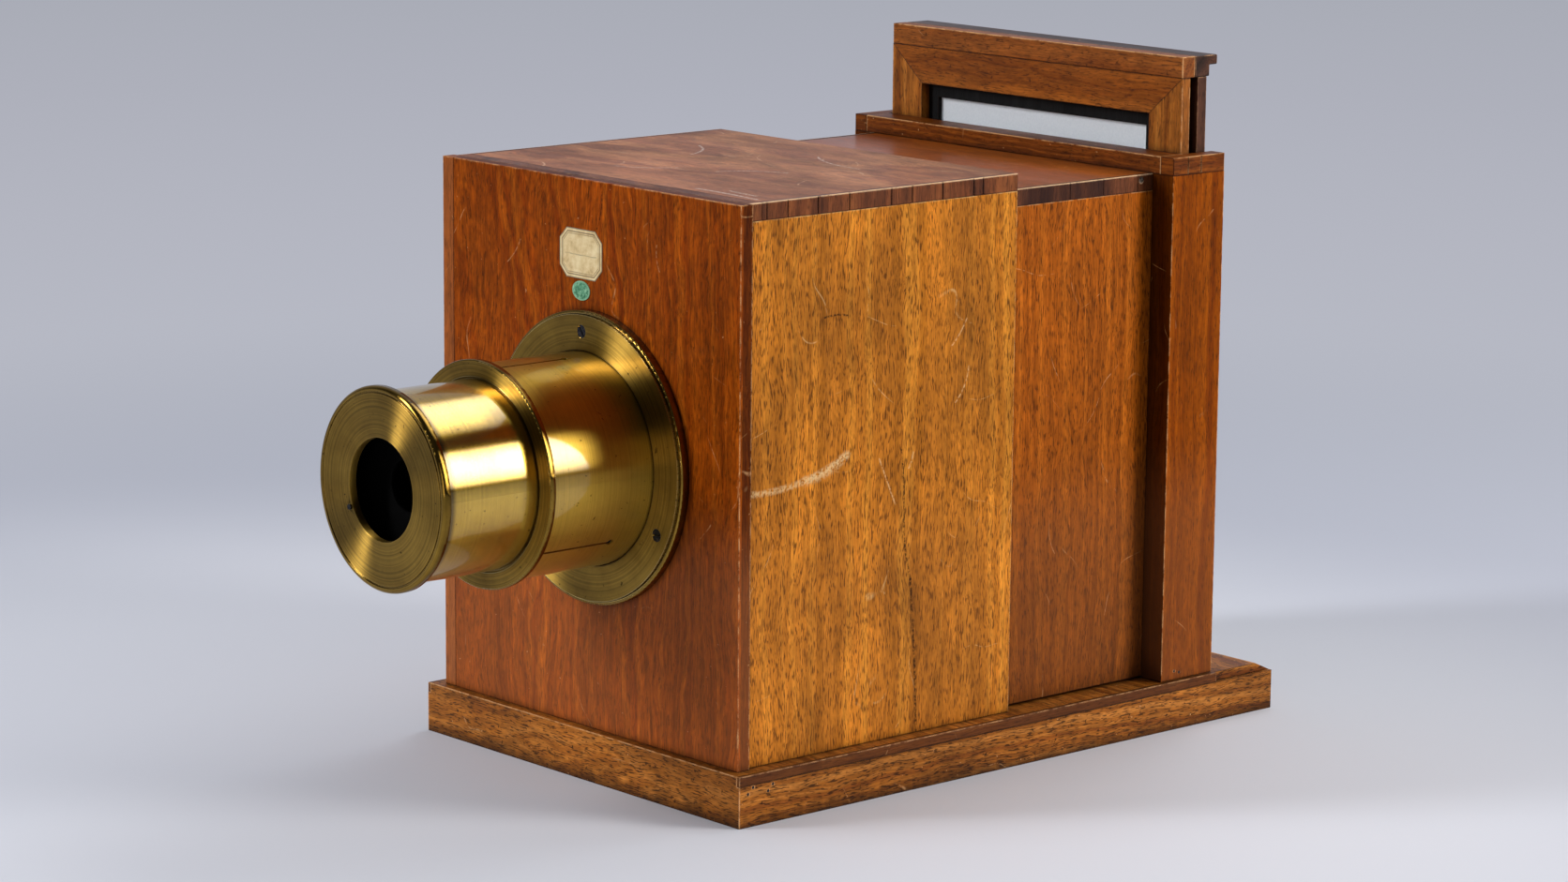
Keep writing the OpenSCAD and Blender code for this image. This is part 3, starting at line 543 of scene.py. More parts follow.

# %% [markdown]
# The front panel
#
# The panel is mahogany veneer with a wild, wandering figure, reddish under its varnish. Its edge shows a
# thin red face over a dark core, and its foot has painted light, as if lit from the floor. A heart just
# behind the panel makes the rings come round in arches. The strip that makes up its left edge is a
# plainer piece of the same wood.

# %% Dress the front panel
WORN_EDGE = "#dca871"


def core_and_painted_floor_light(tree, axes):
    depth = add(tree, "MapRange", [axes.outputs["Y"], -196.5, -196.2, 1.0, 0.42])
    # painted light: the foot of the panel is up to a third lighter, as if lit from the floor
    foot = add(tree, "MapRange", [axes.outputs["Z"], 40.0, 190.0, 1.34, 1.0])
    return add(tree, "Math", [depth, foot], operation="MULTIPLY")


# each group of marks has a colour and a strength, and each mark its start and end in mm on the board,
# how far it bows, and its width
PANEL_MARKS = (
    ("#2a1003", 0.8, [((13.3, 322.7), (8.6, 302.1), 1.5, 0.7)]),
    ("#b9875a", 0.7, [((-56.7, 289.4), (-68.3, 275.7), 1.0, 0.5),
        ((58.5, 299.4), (60.8, 285.8), -1.2, 0.6)]),
)
panel_wood = varnished_wood("mahogany_front_panel", "z", ("#742e02", "#863c05", "#984a0a"), "#2a1002",
    WORN_EDGE, (-150.0, 26.0, 0.0), 1, ring_mm=4.0, wave_mm=6.0, squeeze=0.25, pore_amount=0.55,
    fibre_range=(0.54, 1.42), patch_range=(0.68, 1.30), mottled=0.26, mottle_mm=5.0,
    shade=core_and_painted_floor_light, worn_line=(0.09, 0.30), specular=0.04, coat=0.01, dusty=0.26, chipped=0.5,
    inside_below=-0.5, middle_mm=(-400.0, -30.0, 170.0), marks=PANEL_MARKS, marks_on="XZ")
give(panel_wood, "front_panel")
strip_wood = varnished_wood("mahogany_edge_strip", "z", ("#7a3a12", "#9a521e", "#b2672c"), "#2c1003",
    WORN_EDGE, (-150.0, 40.0, 0.0), 2, wave_mm=3.0, pore_amount=0.4, mottled=0.2, dusty=0.2)
give(strip_wood, "panel_edge_strip")
print("panel dressed, with groups of marks:", len(PANEL_MARKS))

# %% [markdown]
# The front box
#
# The sides are a golden walnut with many short dark pores, straight in the grain, and painted light makes
# them lighter towards the front. On the right-hand side are a pale scuff, thin scratches and a long
# crack, set by their places in mm. The top has lost its colour to light and dust and is the most
# scratched, and painted shade darkens it towards the back. The edging round it is a dark rosewood laid
# across, in short blocks, so its outer arris is worn pale.

# %% Dress the sides of the front box
# painted light: the sides are lighter towards the front and darker towards the back
def painted_light_in_front(tree, axes):
    return add(tree, "MapRange", [axes.outputs["Y"], -196.0, -20.0, 1.10, 0.93])


SIDE_MARKS = (
    # the scuff
    ("#e3c08a", 0.6, [((-187.1, 175.0), (-120.0, 188.3), -4.5, 2.6),
        ((-150.0, 177.5), (-122.0, 187.5), -2.0, 4.0)]),
    # pale scratches
    ("#dcb27a", 0.8, [((-34.6, 252.4), (-45.2, 238.7), 0.8, 0.7),
        ((-32.5, 226.3), (-42.0, 207.3), 2.0, 0.7), ((-97.4, 182.9), (-85.4, 156.7), 0.0, 0.7),
        ((-72.6, 183.7), (-75.8, 175.4), 0.5, 0.8)]),
    # a dark scratch, and the crack that runs down to the base
    ("#2c1608", 0.9, [((-137.5, 263.3), (-121.4, 262.9), 0.8, 0.9),
        ((-81.2, 185.8), (-78.8, 140.9), 0.8, 1.0), ((-78.8, 140.9), (-73.5, 113.9), -0.8, 1.2),
        ((-73.5, 113.9), (-69.6, 65.6), 0.0, 1.5), ((-69.6, 65.6), (-68.0, 29.3), 0.0, 1.3)]),
)
side_wood = varnished_wood("walnut_front_box", "z", ("#b06a1a", "#c27622", "#d0862a"), "#4a2408",
    "#e2b878", (60.0, -260.0, 120.0), 3, ring_mm=9.0, wave_mm=4.0, pore_amount=0.8, pore_from=0.53,
    fibre_range=(0.74, 1.20), patch_range=(0.60, 1.30), mottled=0.18, dusty=0.06, specular=0.06,
    coat=0.01, shade=painted_light_in_front, inside_below=-0.5, marks=SIDE_MARKS, marks_from_x=0.0)
give(side_wood, "outer_side_left", "outer_side_right")
print("sides dressed, with marks:", sum(len(lines) for code, strength, lines in SIDE_MARKS))

# %% Dress the top and its edging
# painted shade: the top is darkened towards the back, where less sheen falls
def painted_shade_behind(tree, axes):
    return add(tree, "MapRange", [axes.outputs["Y"], -130.0, -10.0, 1.0, 0.84])


TOP_MARKS = (
    ("#dccdc2", 0.6, [((62.0, -174.0), (114.0, -177.0), 1.2, 1.8),
        ((80.0, -166.0), (104.0, -168.5), -0.8, 1.2), ((18.0, -122.0), (46.0, -96.0), 5.0, 1.1),
        ((-34.0, -150.0), (-8.0, -128.0), -4.0, 1.0), ((-72.0, -58.0), (-46.0, -86.0), 4.0, 1.1),
        ((6.0, -38.0), (58.0, -54.0), -5.0, 1.0)]),
    ("#331709", 0.8, [((52.0, -84.0), (70.0, -40.0), 2.0, 1.0),
        ((-14.0, -108.0), (8.0, -92.0), 2.0, 1.2)]),
)
top_wood = varnished_wood("faded_walnut_top", "x", ("#7c4222", "#965a34", "#ae7246"), "#35190b",
    "#d9b08c", (-60.0, -40.0, 0.0), 4, worn_arrises=(0.0, 0.0, 0.0), mottled=0.20,
    patch_range=(0.56, 1.30), ring_mm=14.0, wave_mm=9.0, pore_amount=0.35, roughness=0.48, coat=0.02,
    specular=0.33, scratched=0.8, scratch_share=0.7, scratch_mm=1.0, inside_below=-0.5,
    shade=painted_shade_behind, marks=TOP_MARKS, marks_on="XY")
give(top_wood, "outer_top_board")
for name, tones, shift, banding in (
        ("rosewood_edging", ("#44200e", "#6c3a1c", "#8c5028"), 5, "outer_top_banding"),
        ("rosewood_rear_edging", ("#2c130a", "#4a2614", "#683a20"), 16, "inner_top_banding")):
    edging_wood = varnished_wood(name, "z", tones, "#1a0a04", "#ecc79c", (300.0, 200.0, 300.0), shift,
        ring_mm=20.0, wave_mm=3.0, pore_amount=0.5, mottled=0.22, worn_amount=1.0, worn_from=0.26,
        worn_arrises=(0.0, 1.0, 0.0), worn_line=(0.07, 0.26), scratched=0.3)
    give(edging_wood, banding)
print("top dressed, with marks:", sum(len(lines) for code, strength, lines in TOP_MARKS))

# %% [markdown]
# The rear box and the plate guide
#
# The rear box is reddish mahogany. It slides, so its varnish is rubbed, and it is darker towards its
# foot: a shade that depends on the height gives that. Its top was covered for long and has kept more
# polish. The guide posts are a plain straight-grained mahogany. In the deep corner in front of each
# post the painted corner shade reaches further, the post's front face has a painted shadow, and the
# posts are darker towards the bottom.

# %% Dress the rear box
def darker_low_down(tree, axes):
    return add(tree, "MapRange", [axes.outputs["Z"], 28.0, 270.0, 0.56, 1.03],
        interpolation_type="SMOOTHSTEP")


inner_wood = varnished_wood("mahogany_rear_box", "z", ("#90480a", "#a65610", "#b86416"), "#301406",
    WORN_EDGE, (50.0, -380.0, 100.0), 6, wave_mm=4.0, pore_amount=0.7, pore_from=0.54, mottled=0.20,
    mottle_mm=5.0, fibre_range=(0.62, 1.32), dusty=0.14, shade=darker_low_down, dirt_mm=26.0,
    inside_below=-0.5, specular=0.05, coat=0.01)
give(inner_wood, "inner_side_left", "inner_side_right", "inner_floor")
inner_top = varnished_wood("mahogany_rear_top", "x", ("#702f06", "#8e450e", "#a85816"), "#34160a",
    WORN_EDGE, (40.0, -70.0, 0.0), 7, ring_mm=10.0, wave_mm=6.0, pore_amount=0.35, roughness=0.34,
    coat=0.12, specular=0.28, scratched=0.7, inside_below=-0.5)
give(inner_top, "inner_top_board")
print("rear box dressed")

# %% Dress the plate guide
# painted shadow: faces that look to the front are darkened, and the posts are darker towards the bottom
def painted_shade_in_front(tree, axes):
    looks = add(tree, "SeparateXYZ", [add(tree, "NewGeometry").outputs["True Normal"]])
    level = add(tree, "MapRange", [looks.outputs["Y"], -1.0, -0.6, 0.30, 1.0])
    foot = add(tree, "MapRange", [axes.outputs["Z"], 30.0, 170.0, 0.80, 1.0])
    return add(tree, "Math", [level, foot], operation="MULTIPLY")


post_wood = varnished_wood("mahogany_guide", "z", ("#743202", "#8a4203", "#9c4e06"), "#2c1206",
    WORN_EDGE, (-40.0, 300.0, 100.0), 8, worn_arrises=(1.0, 0.0, 0.0), ring_mm=5.0, wave_mm=3.0,
    mottled=0.18, mottle_mm=5.0, specular=0.04, coat=0.01, dusty=0.16, dirt_mm=20.0, shade=painted_shade_in_front)
give(post_wood, "guide_post_left", "guide_post_right", "guide_tongue_left", "guide_tongue_right")
# the front cap is worn along its front arris, the caps at the ends and the sill along their rear ones
FAR_BEHIND, FAR_IN_FRONT = 900.0, -900.0
for name, shift, middle_y, pieces in (
        ("mahogany_guide_cap", 9, FAR_BEHIND, ("guide_cap_front",)),
        ("mahogany_cap_ends", 18, FAR_IN_FRONT, ("guide_cap_left", "guide_cap_right", "guide_sill"))):
    cap_wood = varnished_wood(name, "xy", ("#542408", "#6e370d", "#844613"), "#220e05", WORN_EDGE,
        (200.0, 60.0, 0.0), shift, wave_mm=3.0, pore_amount=0.5, mottled=0.22, dented=0.5, chipped=0.5,
        worn_line=(0.10, 0.32), worn_from=0.36, one_sided=True, specular=0.06, coat=0.01,
        middle_mm=(0.0, middle_y, 170.0))
    give(cap_wood, *pieces)
print("plate guide dressed")

# %% [markdown]
# The base board
#
# The base is a coarser walnut that has been knocked about. Its figure runs along each face, so the
# recipe takes one way of the grain for the faces at the ends and another for those at the sides. It is
# darker near its foot, and the part of it that the front box covers is blackened like the inside of
# the box. That part is found by its place, from the sizes of the boards that stand on it.

# %% Dress the base
side_low, side_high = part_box("outer_side_right")
panel_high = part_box("front_panel")[1]
base_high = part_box("base_board")[1]
BOX_INSIDE_X = side_low[0] * 1000 - 0.2
BOX_BACK_Y = side_high[1] * 1000
PANEL_BACK_Y = panel_high[1] * 1000
BASE_TOP_Z = base_high[2] * 1000
BASE_BEVEL_Y = base_high[1] * 1000 - 14.0
BLACK_UNDER_BOX = 0.93
FOOT_LINE_MM = 14.0


def dark_foot(tree, axes):
    """dark below an uneven line near the foot, and almost black under the box"""
    place = add(tree, "CombineXYZ", [axes.outputs["X"], axes.outputs["Y"]])
    uneven = add(tree, "TexNoise", {"Vector": place, "Scale": 1 / FOOT_LINE_MM, "Detail": 4.0,
        "Roughness": 0.7})
    height = add(tree, "Math", [uneven, -16.0, axes.outputs["Z"]], operation="MULTIPLY_ADD")
    level = add(tree, "MapRange", [height, -8.0, 2.0, 0.42, 1.0], interpolation_type="SMOOTHSTEP")
    across = add(tree, "Math", [axes.outputs["X"]], operation="ABSOLUTE")
    limits = (
        (across, "LESS_THAN", BOX_INSIDE_X), (axes.outputs["Y"], "LESS_THAN", BOX_BACK_Y),
        (axes.outputs["Y"], "GREATER_THAN", PANEL_BACK_Y),
        (axes.outputs["Z"], "GREATER_THAN", BASE_TOP_Z - 1.0),
    )
    tests = [add(tree, "Math", [value, limit], operation=test) for value, test, limit in limits]
    inside = joined(tree, "MULTIPLY", *tests)
    left = add(tree, "Math", [inside, -BLACK_UNDER_BOX, 1.0], operation="MULTIPLY_ADD")
    return add(tree, "Math", [level, left], operation="MULTIPLY")


base_wood = varnished_wood("walnut_base", "xy", ("#743a0e", "#a0601f", "#c07c36"), "#241104",
    WORN_EDGE, (160.0, -22.0, 0.0), 10, worn_arrises=(1.0, 0.0, 1.0), patch_range=(0.60, 1.26),
    ring_mm=5.0, wave_mm=4.0, pore_amount=0.8, pore_from=0.53, mottled=0.26, dented=0.8, chipped=0.8,
    worn_line=(0.08, 0.30), shade=dark_foot, no_wear_behind=BASE_BEVEL_Y, worn_amount=0.95,
    worn_from=0.38)
give(base_wood, "base_board")
fillet_wood = varnished_wood("walnut_fillet", "y", ("#4c250c", "#704019", "#8c5828"), "#2a1508",
    "#c89a68", (300.0, 0.0, 0.0), 11, ring_mm=5.0, wave_mm=2.0, pore_amount=0.5, worn_amount=0.7)
give(fillet_wood, "base_fillet_left", "base_fillet_right")
print("the base is blackened for X within", round(BOX_INSIDE_X, 1), "mm")

# %% [markdown]
# The ground-glass frame
#
# The four members of its front are mitred, so the grain turns the corner with them: upright in the
# stiles and level in the rails. The layers behind are a darker wood, and the liner is painted black so
# that it throws no light on the glass.

# %% Dress the ground-glass frame
stile_wood = varnished_wood("walnut_stile", "z", ("#784010", "#9a5a1c", "#ae6c28"), "#2c1508", WORN_EDGE,
    (400.0, 60.0, 200.0), 12, worn_arrises=(1.0, 0.0, 0.0), wave_mm=3.0, mottled=0.22, mottle_mm=5.0,
    dented=0.4)
give(stile_wood, "screen_stile_left", "screen_stile_right")
rail_wood = varnished_wood("walnut_rail", "x", ("#763c0c", "#8e4e16", "#a05c1e"), "#2c1508", WORN_EDGE,
    (400.0, 260.0, 0.0), 13, worn_arrises=(0.0, 0.0, 0.0), wave_mm=3.0, mottled=0.24, mottle_mm=5.0,
    dented=0.6)
give(rail_wood, "screen_rail_top", "screen_rail_bottom")
rail_cap_wood = varnished_wood("walnut_frame_cap", "x", ("#6c360d", "#864817", "#9a5a22"), "#2c1508",
    WORN_EDGE, (400.0, 260.0, 0.0), 17, wave_mm=3.0, mottled=0.24, mottle_mm=5.0, dented=0.6,
    worn_amount=0.95, worn_from=0.36, worn_line=(0.10, 0.32))
give(rail_cap_wood, "screen_cap_front")
for name, grain, shift, pieces in (
        ("dark_walnut_back", "z", 14, ("screen_core", "screen_back_stile_left",
            "screen_back_stile_right", "glazing_beads")),
        ("dark_walnut_back_rails", "x", 21, ("screen_back_rail_top", "screen_back_rail_bottom",
            "screen_cap_rear"))):
    back_wood = varnished_wood(name, grain, ("#21130c", "#3a2218", "#523223"), "#140a05", "#a97f5c",
        (400.0, 100.0, 200.0), shift, wave_mm=2.0, pore_amount=0.5)
    give(back_wood, *pieces)
black_wood = varnished_wood("blackened_wood", "z", ("#0b0b0b", "#101010", "#161616"), "#050505", "#2a2622",
    (400.0, 100.0, 200.0), 15, wave_mm=1.0, pore_amount=0.5, roughness=0.6, coat=0.0, worn_amount=0.4,
    scratched=0.0)
give(black_wood, "screen_liner")
print("frame dressed")

# %% [markdown]
# Turned brass
#
# Every brass piece was turned on a lathe. The tubes keep a thin old lacquer and the flat faces have
# lost theirs, so they are golden where they are rubbed and brown where they aren't. The lathe leaves
# fine rings. They spread a highlight at right angles to themselves: that draws bright wedges on a flat
# face and a bright band along a tube. The Tangent node gives the direction of the rings round the lens,
# and the shader's anisotropy does the rest. Each ring is really some hundredths of a millimetre wide;
# they are drawn about a millimetre wide to show. The bores are painted matt black against reflections.

# %% Measures of the lens mount
def radius_mm(piece):
    low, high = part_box(piece)
    return (high[0] - low[0]) * 500


lens_low, lens_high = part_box("front_tube")
lens_axis = (Vector(lens_low) + Vector(lens_high)) / 2
mouth_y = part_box("lens_barrel")[0][1] * 1000
flange_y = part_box("lens_flange")[0][1] * 1000
tube_front_y = lens_low[1] * 1000
SLEEVE_MM = 14.5
BARREL_BORE_MM = 57.0
TUBE_BORE_MM = 49.0
RING_MM = 1.3
print("lens axis at", tuple(round(v, 4) for v in lens_axis))
print("flange radius in mm:", round(radius_mm("lens_flange"), 1))

# %% The colour of turned brass
RUBBED_BRASS_AND_HIGHLIGHT = "#ffe6a0"
BRASS_GRIME = "#2a1806"
BORE_BLACK = "#040404"
CLOUD_MM = 28.0
SPECK_MM = 2.6


def brass_colour(tree, tones, tarnish, stain, in_mm, depth, painted_ring_shine, shift):
    """clouds of tarnish with dark specks, and an unrubbed band where there is one"""
    place = moved(tree, in_mm, shift, (71.0, 37.0, 53.0))
    cloud = add(tree, "TexNoise", {"Vector": place, "Scale": 1 / CLOUD_MM, "Detail": 6.0,
        "Roughness": 0.62})
    clouds = add(tree, "MapRange", [cloud, 0.34, 0.74, 0.0, tarnish])
    speck = add(tree, "TexNoise", {"Vector": place, "Scale": 1 / SPECK_MM, "Detail": 2.0})
    specks = add(tree, "MapRange", [speck, 0.70, 0.76, 0.0, 0.8])
    layers = [(clouds, tones[1]), (specks, tones[2])]
    if stain is not None:
        middle, width, strength = stain
        away = add(tree, "Math", [depth, middle], operation="SUBTRACT")
        apart = add(tree, "Math", [away], operation="ABSOLUTE")
        band = add(tree, "MapRange", [apart, width, width * 0.35, 0.0, strength])
        layers.append((band, tones[2]))
    toned = lay_over(tree, linear(tones[0]), layers)
    # the rings' painted light and shade set the value of the colour
    return clouds, add(tree, "HueSaturation", {"Color": toned, "Value": painted_ring_shine})


print("specks of tarnish are drawn", SPECK_MM, "mm apart")

# %% The recipe for turned brass
BRASS_ARRIS_M = 0.0006
GRIME_REACH_M = 0.004
RING_DEPTH_M = 0.00006


def turned_brass(name, flat_face, tones, tarnish, roughness, spread, shift, stain=None, lacquer=0.0,
        ring_shine_range=(0.66, 1.24), ring_relief=0.45, black_behind=None, black_within=0.0,
        rim_from=1000.0):
    material, tree = start_material(name)
    in_mm = surface_in_mm(tree, (lens_axis.x, 0.0, lens_axis.z))
    flat = add(tree, "VectorMath", [in_mm, (1.0, 0.0, 1.0)], operation="MULTIPLY")
    radius = add(tree, "VectorMath", [flat], operation="LENGTH")
    depth = add(tree, "SeparateXYZ", [in_mm]).outputs["Y"]

    # rings of the lathe: they follow the radius on a face and the depth on a tube
    ring = add(tree, "TexNoise", {"W": radius if flat_face else depth, "Scale": 1 / RING_MM,
        "Detail": 5.0, "Roughness": 0.75}, noise_dimensions="1D")
    # painted highlight and shade: the rings' bright and dark lines are painted into the colour
    painted_ring_shine = add(tree, "MapRange", [ring, 0.3, 0.7, *ring_shine_range])
    clouds, colour = brass_colour(tree, tones, tarnish, stain, in_mm, depth, painted_ring_shine, shift)

    # rubbed bright on the arrises, with a painted highlight there, and brown in the corners
    rounded = add(tree, "Bevel", {"Radius": BRASS_ARRIS_M}, samples=8)
    facing = add(tree, "NewGeometry").outputs["Normal"]
    agree = add(tree, "VectorMath", [rounded, facing], operation="DOT_PRODUCT")
    edge = add(tree, "MapRange", [agree, 0.97, 0.86, 0.0, 0.75])
    corner = add(tree, "AmbientOcclusion", {"Distance": GRIME_REACH_M}, samples=6)
    grime = add(tree, "MapRange", [corner.outputs["AO"], 0.7, 0.2, 0.0, 0.85])
    layers = [(edge, RUBBED_BRASS_AND_HIGHLIGHT), (grime, BRASS_GRIME)]

    # the rim and the rubbed arrises are smoother than the rest, the clouds of tarnish rougher
    dull = add(tree, "Math", [clouds, 0.10, roughness], operation="MULTIPLY_ADD")
    rim = add(tree, "Math", [radius, rim_from], operation="GREATER_THAN")
    smooth = add(tree, "Math", [rim, edge], operation="MAXIMUM")
    gloss = add(tree, "Mix", {0: smooth, FROM_NUMBER: dull, TO_NUMBER: 0.15}, data_type="FLOAT")

    # the black paint covers the bore and whatever lies hidden inside the barrel
    metal = 1.0
    if black_behind is not None:
        near_axis = add(tree, "Math", [radius, BARREL_BORE_MM], operation="LESS_THAN")
        far_in = add(tree, "Math", [depth, black_behind], operation="GREATER_THAN")
        hidden = add(tree, "Math", [near_axis, far_in], operation="MULTIPLY")
        bore = add(tree, "Math", [radius, black_within], operation="LESS_THAN")
        painted = add(tree, "Math", [hidden, bore], operation="MAXIMUM")
        layers.append((painted, BORE_BLACK))
        metal = add(tree, "Math", [1.0, painted], operation="SUBTRACT")
        lacquer = add(tree, "Math", [metal, lacquer], operation="MULTIPLY")
        gloss = add(tree, "Mix", {0: painted, FROM_NUMBER: gloss, TO_NUMBER: 0.85}, data_type="FLOAT")

    bump = add(tree, "Bump", {"Height": ring, "Strength": ring_relief, "Distance": RING_DEPTH_M})
    around = add(tree, "Tangent", direction_type="RADIAL", axis="Y")
    sockets = {"Base Color": lay_over(tree, colour, layers), "Roughness": gloss, "Anisotropic": spread,
        "Anisotropic Rotation": 0.25, "Tangent": around, "Normal": bump, "Coat Roughness": 0.06,
        "Coat IOR": 1.5}
    shader = add(tree, "BsdfPrincipled", {**sockets, "Metallic": metal, "Coat Weight": lacquer})
    add(tree, "OutputMaterial", {"Surface": shader})
    return material


print("rings of the lathe are drawn", RING_MM, "mm apart")

# %% Dress the lens
BRASS_TONES = ("#dcb548", "#957425", "#3a280c")
FACE_TONES = ("#9c7c34", "#654b1a", "#2a1a08")
TUBE_RINGS = dict(ring_shine_range=(0.84, 1.12), ring_relief=0.2)
for name, shift, rim_mm, piece in (
        ("brass_flange", 1, 2.3, "lens_flange"),
        ("brass_collar", 6, 1.0, "barrel_collar"),
        ("brass_stop_plate", 5, 3.9, "stop_plate")):
    face_brass = turned_brass(name, True, FACE_TONES, 0.7, 0.30, 1.0, shift, ring_shine_range=(0.56, 1.28),
        black_behind=mouth_y + 0.3, rim_from=radius_mm(piece) - rim_mm)
    give(face_brass, piece)
barrel_brass = turned_brass("brass_barrel", False, BRASS_TONES, 0.4, 0.28, 1.0, 2, lacquer=0.9,
    stain=(flange_y, 44.0, 0.25), black_behind=mouth_y + 0.3, **TUBE_RINGS)
give(barrel_brass, "lens_barrel")
tube_brass = turned_brass("brass_sliding_tube", False, BRASS_TONES, 0.6, 0.20, 0.9, 3, lacquer=0.9,
    stain=(tube_front_y + 2.0, 4.5, 0.8), black_behind=mouth_y + SLEEVE_MM,
    black_within=TUBE_BORE_MM, **TUBE_RINGS)
give(tube_brass, "front_tube")
inner_brass = turned_brass("brass_clamp", True, BRASS_TONES, 0.9, 0.35, 0.4, 4)
give(inner_brass, "clamp_plate", "clamp_washer", "clamp_nut", "clamp_thumbscrew")
print("brass pieces dressed, the flange's front at", round(flange_y, 1), "mm")

# %% [markdown]
# Iron, steel, black paint and glass
#
# The screws and pins are blued iron gone dull: a metal with a dark colour and a broad highlight. The
# two screws at the back of the rear box are rubbed to pale steel. The diaphragm and the cell are painted
# matt black and hardly shine. The ground glass is rough on one face: some of the light passes, blurred,
# and the rest is scattered back, which makes it look pale. The lens elements are clear crown and flint
# glass with their usual refractive indices, under a faint smear.

# %% Make the small metal and paint finishes
SMALL_FINISHES = (
    ("blued_iron", 900.0, 4.0, ((0.35, "#15161a"), (0.55, "#2b2c31"), (0.75, "#5a4a3c")),
        {"Metallic": 0.9, "Roughness": 0.38},
        ("flange_screws", "base_pins", "post_pins", "clamp_plate_screws", "pivot_screw")),
    ("worn_steel_pins", 700.0, 4.0, ((0.35, "#3c342e"), (0.55, "#6e655c"), (0.75, "#a0968a")),
        {"Metallic": 0.8, "Roughness": 0.4}, ("top_screws",)),
    ("matt_black_paint", 300.0, 3.0, ((0.3, "#020202"), (0.6, "#030303"), (0.8, "#050504")),
        {"Roughness": 0.9, "Specular IOR Level": 0.05}, ("inner_diaphragm", "lens_cell", "cell_ring")),
)
for name, spots_per_m, detail, stops, sockets, pieces in SMALL_FINISHES:
    finish, tree = start_material(name)
    spots = add(tree, "TexNoise", {"Vector": add(tree, "TexCoord").outputs["Object"],
        "Scale": spots_per_m, "Detail": detail})
    spotted = add(tree, "ValToRGB", [spots])
    set_stops(spotted, stops)
    shader = add(tree, "BsdfPrincipled", {"Base Color": spotted, **sockets})
    add(tree, "OutputMaterial", {"Surface": shader})
    give(finish, *pieces)
print("small finishes:", len(SMALL_FINISHES))

# %% Make the glass
FROST_MM = 1.2
ground, tree = start_material("ground_glass")
in_mm = surface_in_mm(tree)
grain = add(tree, "TexNoise", {"Vector": in_mm, "Scale": 1 / FROST_MM, "Detail": 3.0})
glass_tone = add(tree, "ValToRGB", [grain])
set_stops(glass_tone, ((0.3, "#e6ecf0"), (0.5, "#eaf0f4"), (0.7, "#eff4f7")))
frosting = add(tree, "Bump", {"Height": grain, "Strength": 0.03, "Distance": 0.0001})
glass_shader = add(tree, "BsdfPrincipled", {"Base Color": glass_tone, "Roughness": 0.55, "IOR": 1.52,
    "Transmission Weight": 0.3, "Normal": frosting})
add(tree, "OutputMaterial", {"Surface": glass_shader})
give(ground, "ground_glass")

for name, index, tint, piece in (
        ("crown_glass", 1.52, "#f4faf8", "crown_element"),
        ("flint_glass", 1.62, "#f2f7f0", "flint_element")):
    clear, tree = start_material(name)
    smear = add(tree, "TexNoise", {"Vector": add(tree, "TexCoord").outputs["Object"], "Scale": 60.0})
    haze = add(tree, "MapRange", [smear, 0.0, 1.0, 0.0, 0.08])
    clear_shader = add(tree, "BsdfPrincipled", {"Base Color": linear(tint), "Roughness": haze,
        "IOR": index, "Transmission Weight": 1.0})
    add(tree, "OutputMaterial", {"Surface": clear_shader})
    give(clear, piece)
print("glass made: ground, crown and flint")

# %% [markdown]
# Paper on the panel
#
# The label is yellowed rag paper with a ruled border, and a round green paper seal is stuck below it.
# Both are plain: the label has faint ruled lines where an owner might have written. The border follows
# the cut corners, because an eight-sided shape is a square cut by a turned square: the greater of the
# two distances gives its outline.

# %% The outline of a label with cut corners
LABEL_CUT_MM = 6.0


def paper_edge(tree, piece, cut_mm):
    """the place on a paper from its middle, and the distance beyond its outline"""
    low, high = (Vector(corner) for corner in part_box(piece))
    half = (high - low) / 2 * 1000
    in_mm = surface_in_mm(tree, (low + high) / 2)
    size = add(tree, "VectorMath", [in_mm], operation="ABSOLUTE")
    axes = add(tree, "SeparateXYZ", [size])
    beyond_x = add(tree, "Math", [axes.outputs["X"], half.x], operation="SUBTRACT")
    beyond_z = add(tree, "Math", [axes.outputs["Z"], half.z], operation="SUBTRACT")
    both = add(tree, "Math", [beyond_x, beyond_z], operation="ADD")
    turned = add(tree, "Math", [both, math.sqrt(0.5), cut_mm * math.sqrt(0.5)], operation="MULTIPLY_ADD")
    return in_mm, joined(tree, "MAXIMUM", beyond_x, beyond_z, turned)


print("the label's corners are cut at", LABEL_CUT_MM, "mm")

# %% Dress the label
RAG_MM = 7.0
label, tree = start_material("yellowed_rag_paper")
in_mm, outline = paper_edge(tree, "paper_label", LABEL_CUT_MM)
mottle = add(tree, "TexNoise", {"Vector": in_mm, "Scale": 1 / RAG_MM, "Detail": 6.0, "Roughness": 0.65})
label_tone = add(tree, "ValToRGB", [mottle])
set_stops(label_tone, ((0.3, "#b0915e"), (0.46, "#d6bd8a"), (0.66, "#e8d6a8")))

# two lines of the border and the dirty edge, by their distance from the outline and their width
layers = []
for middle_mm, width_mm, ink in ((-2.0, 0.45, "#5b4426"), (-3.1, 0.25, "#6e5630"), (0.0, 0.7, "#4a3a26")):
    away = add(tree, "Math", [outline, middle_mm], operation="SUBTRACT")
    apart = add(tree, "Math", [away], operation="ABSOLUTE")
    drawn = add(tree, "MapRange", [apart, width_mm, width_mm * 0.4, 0.0, 0.8])
    layers.append((drawn, ink))

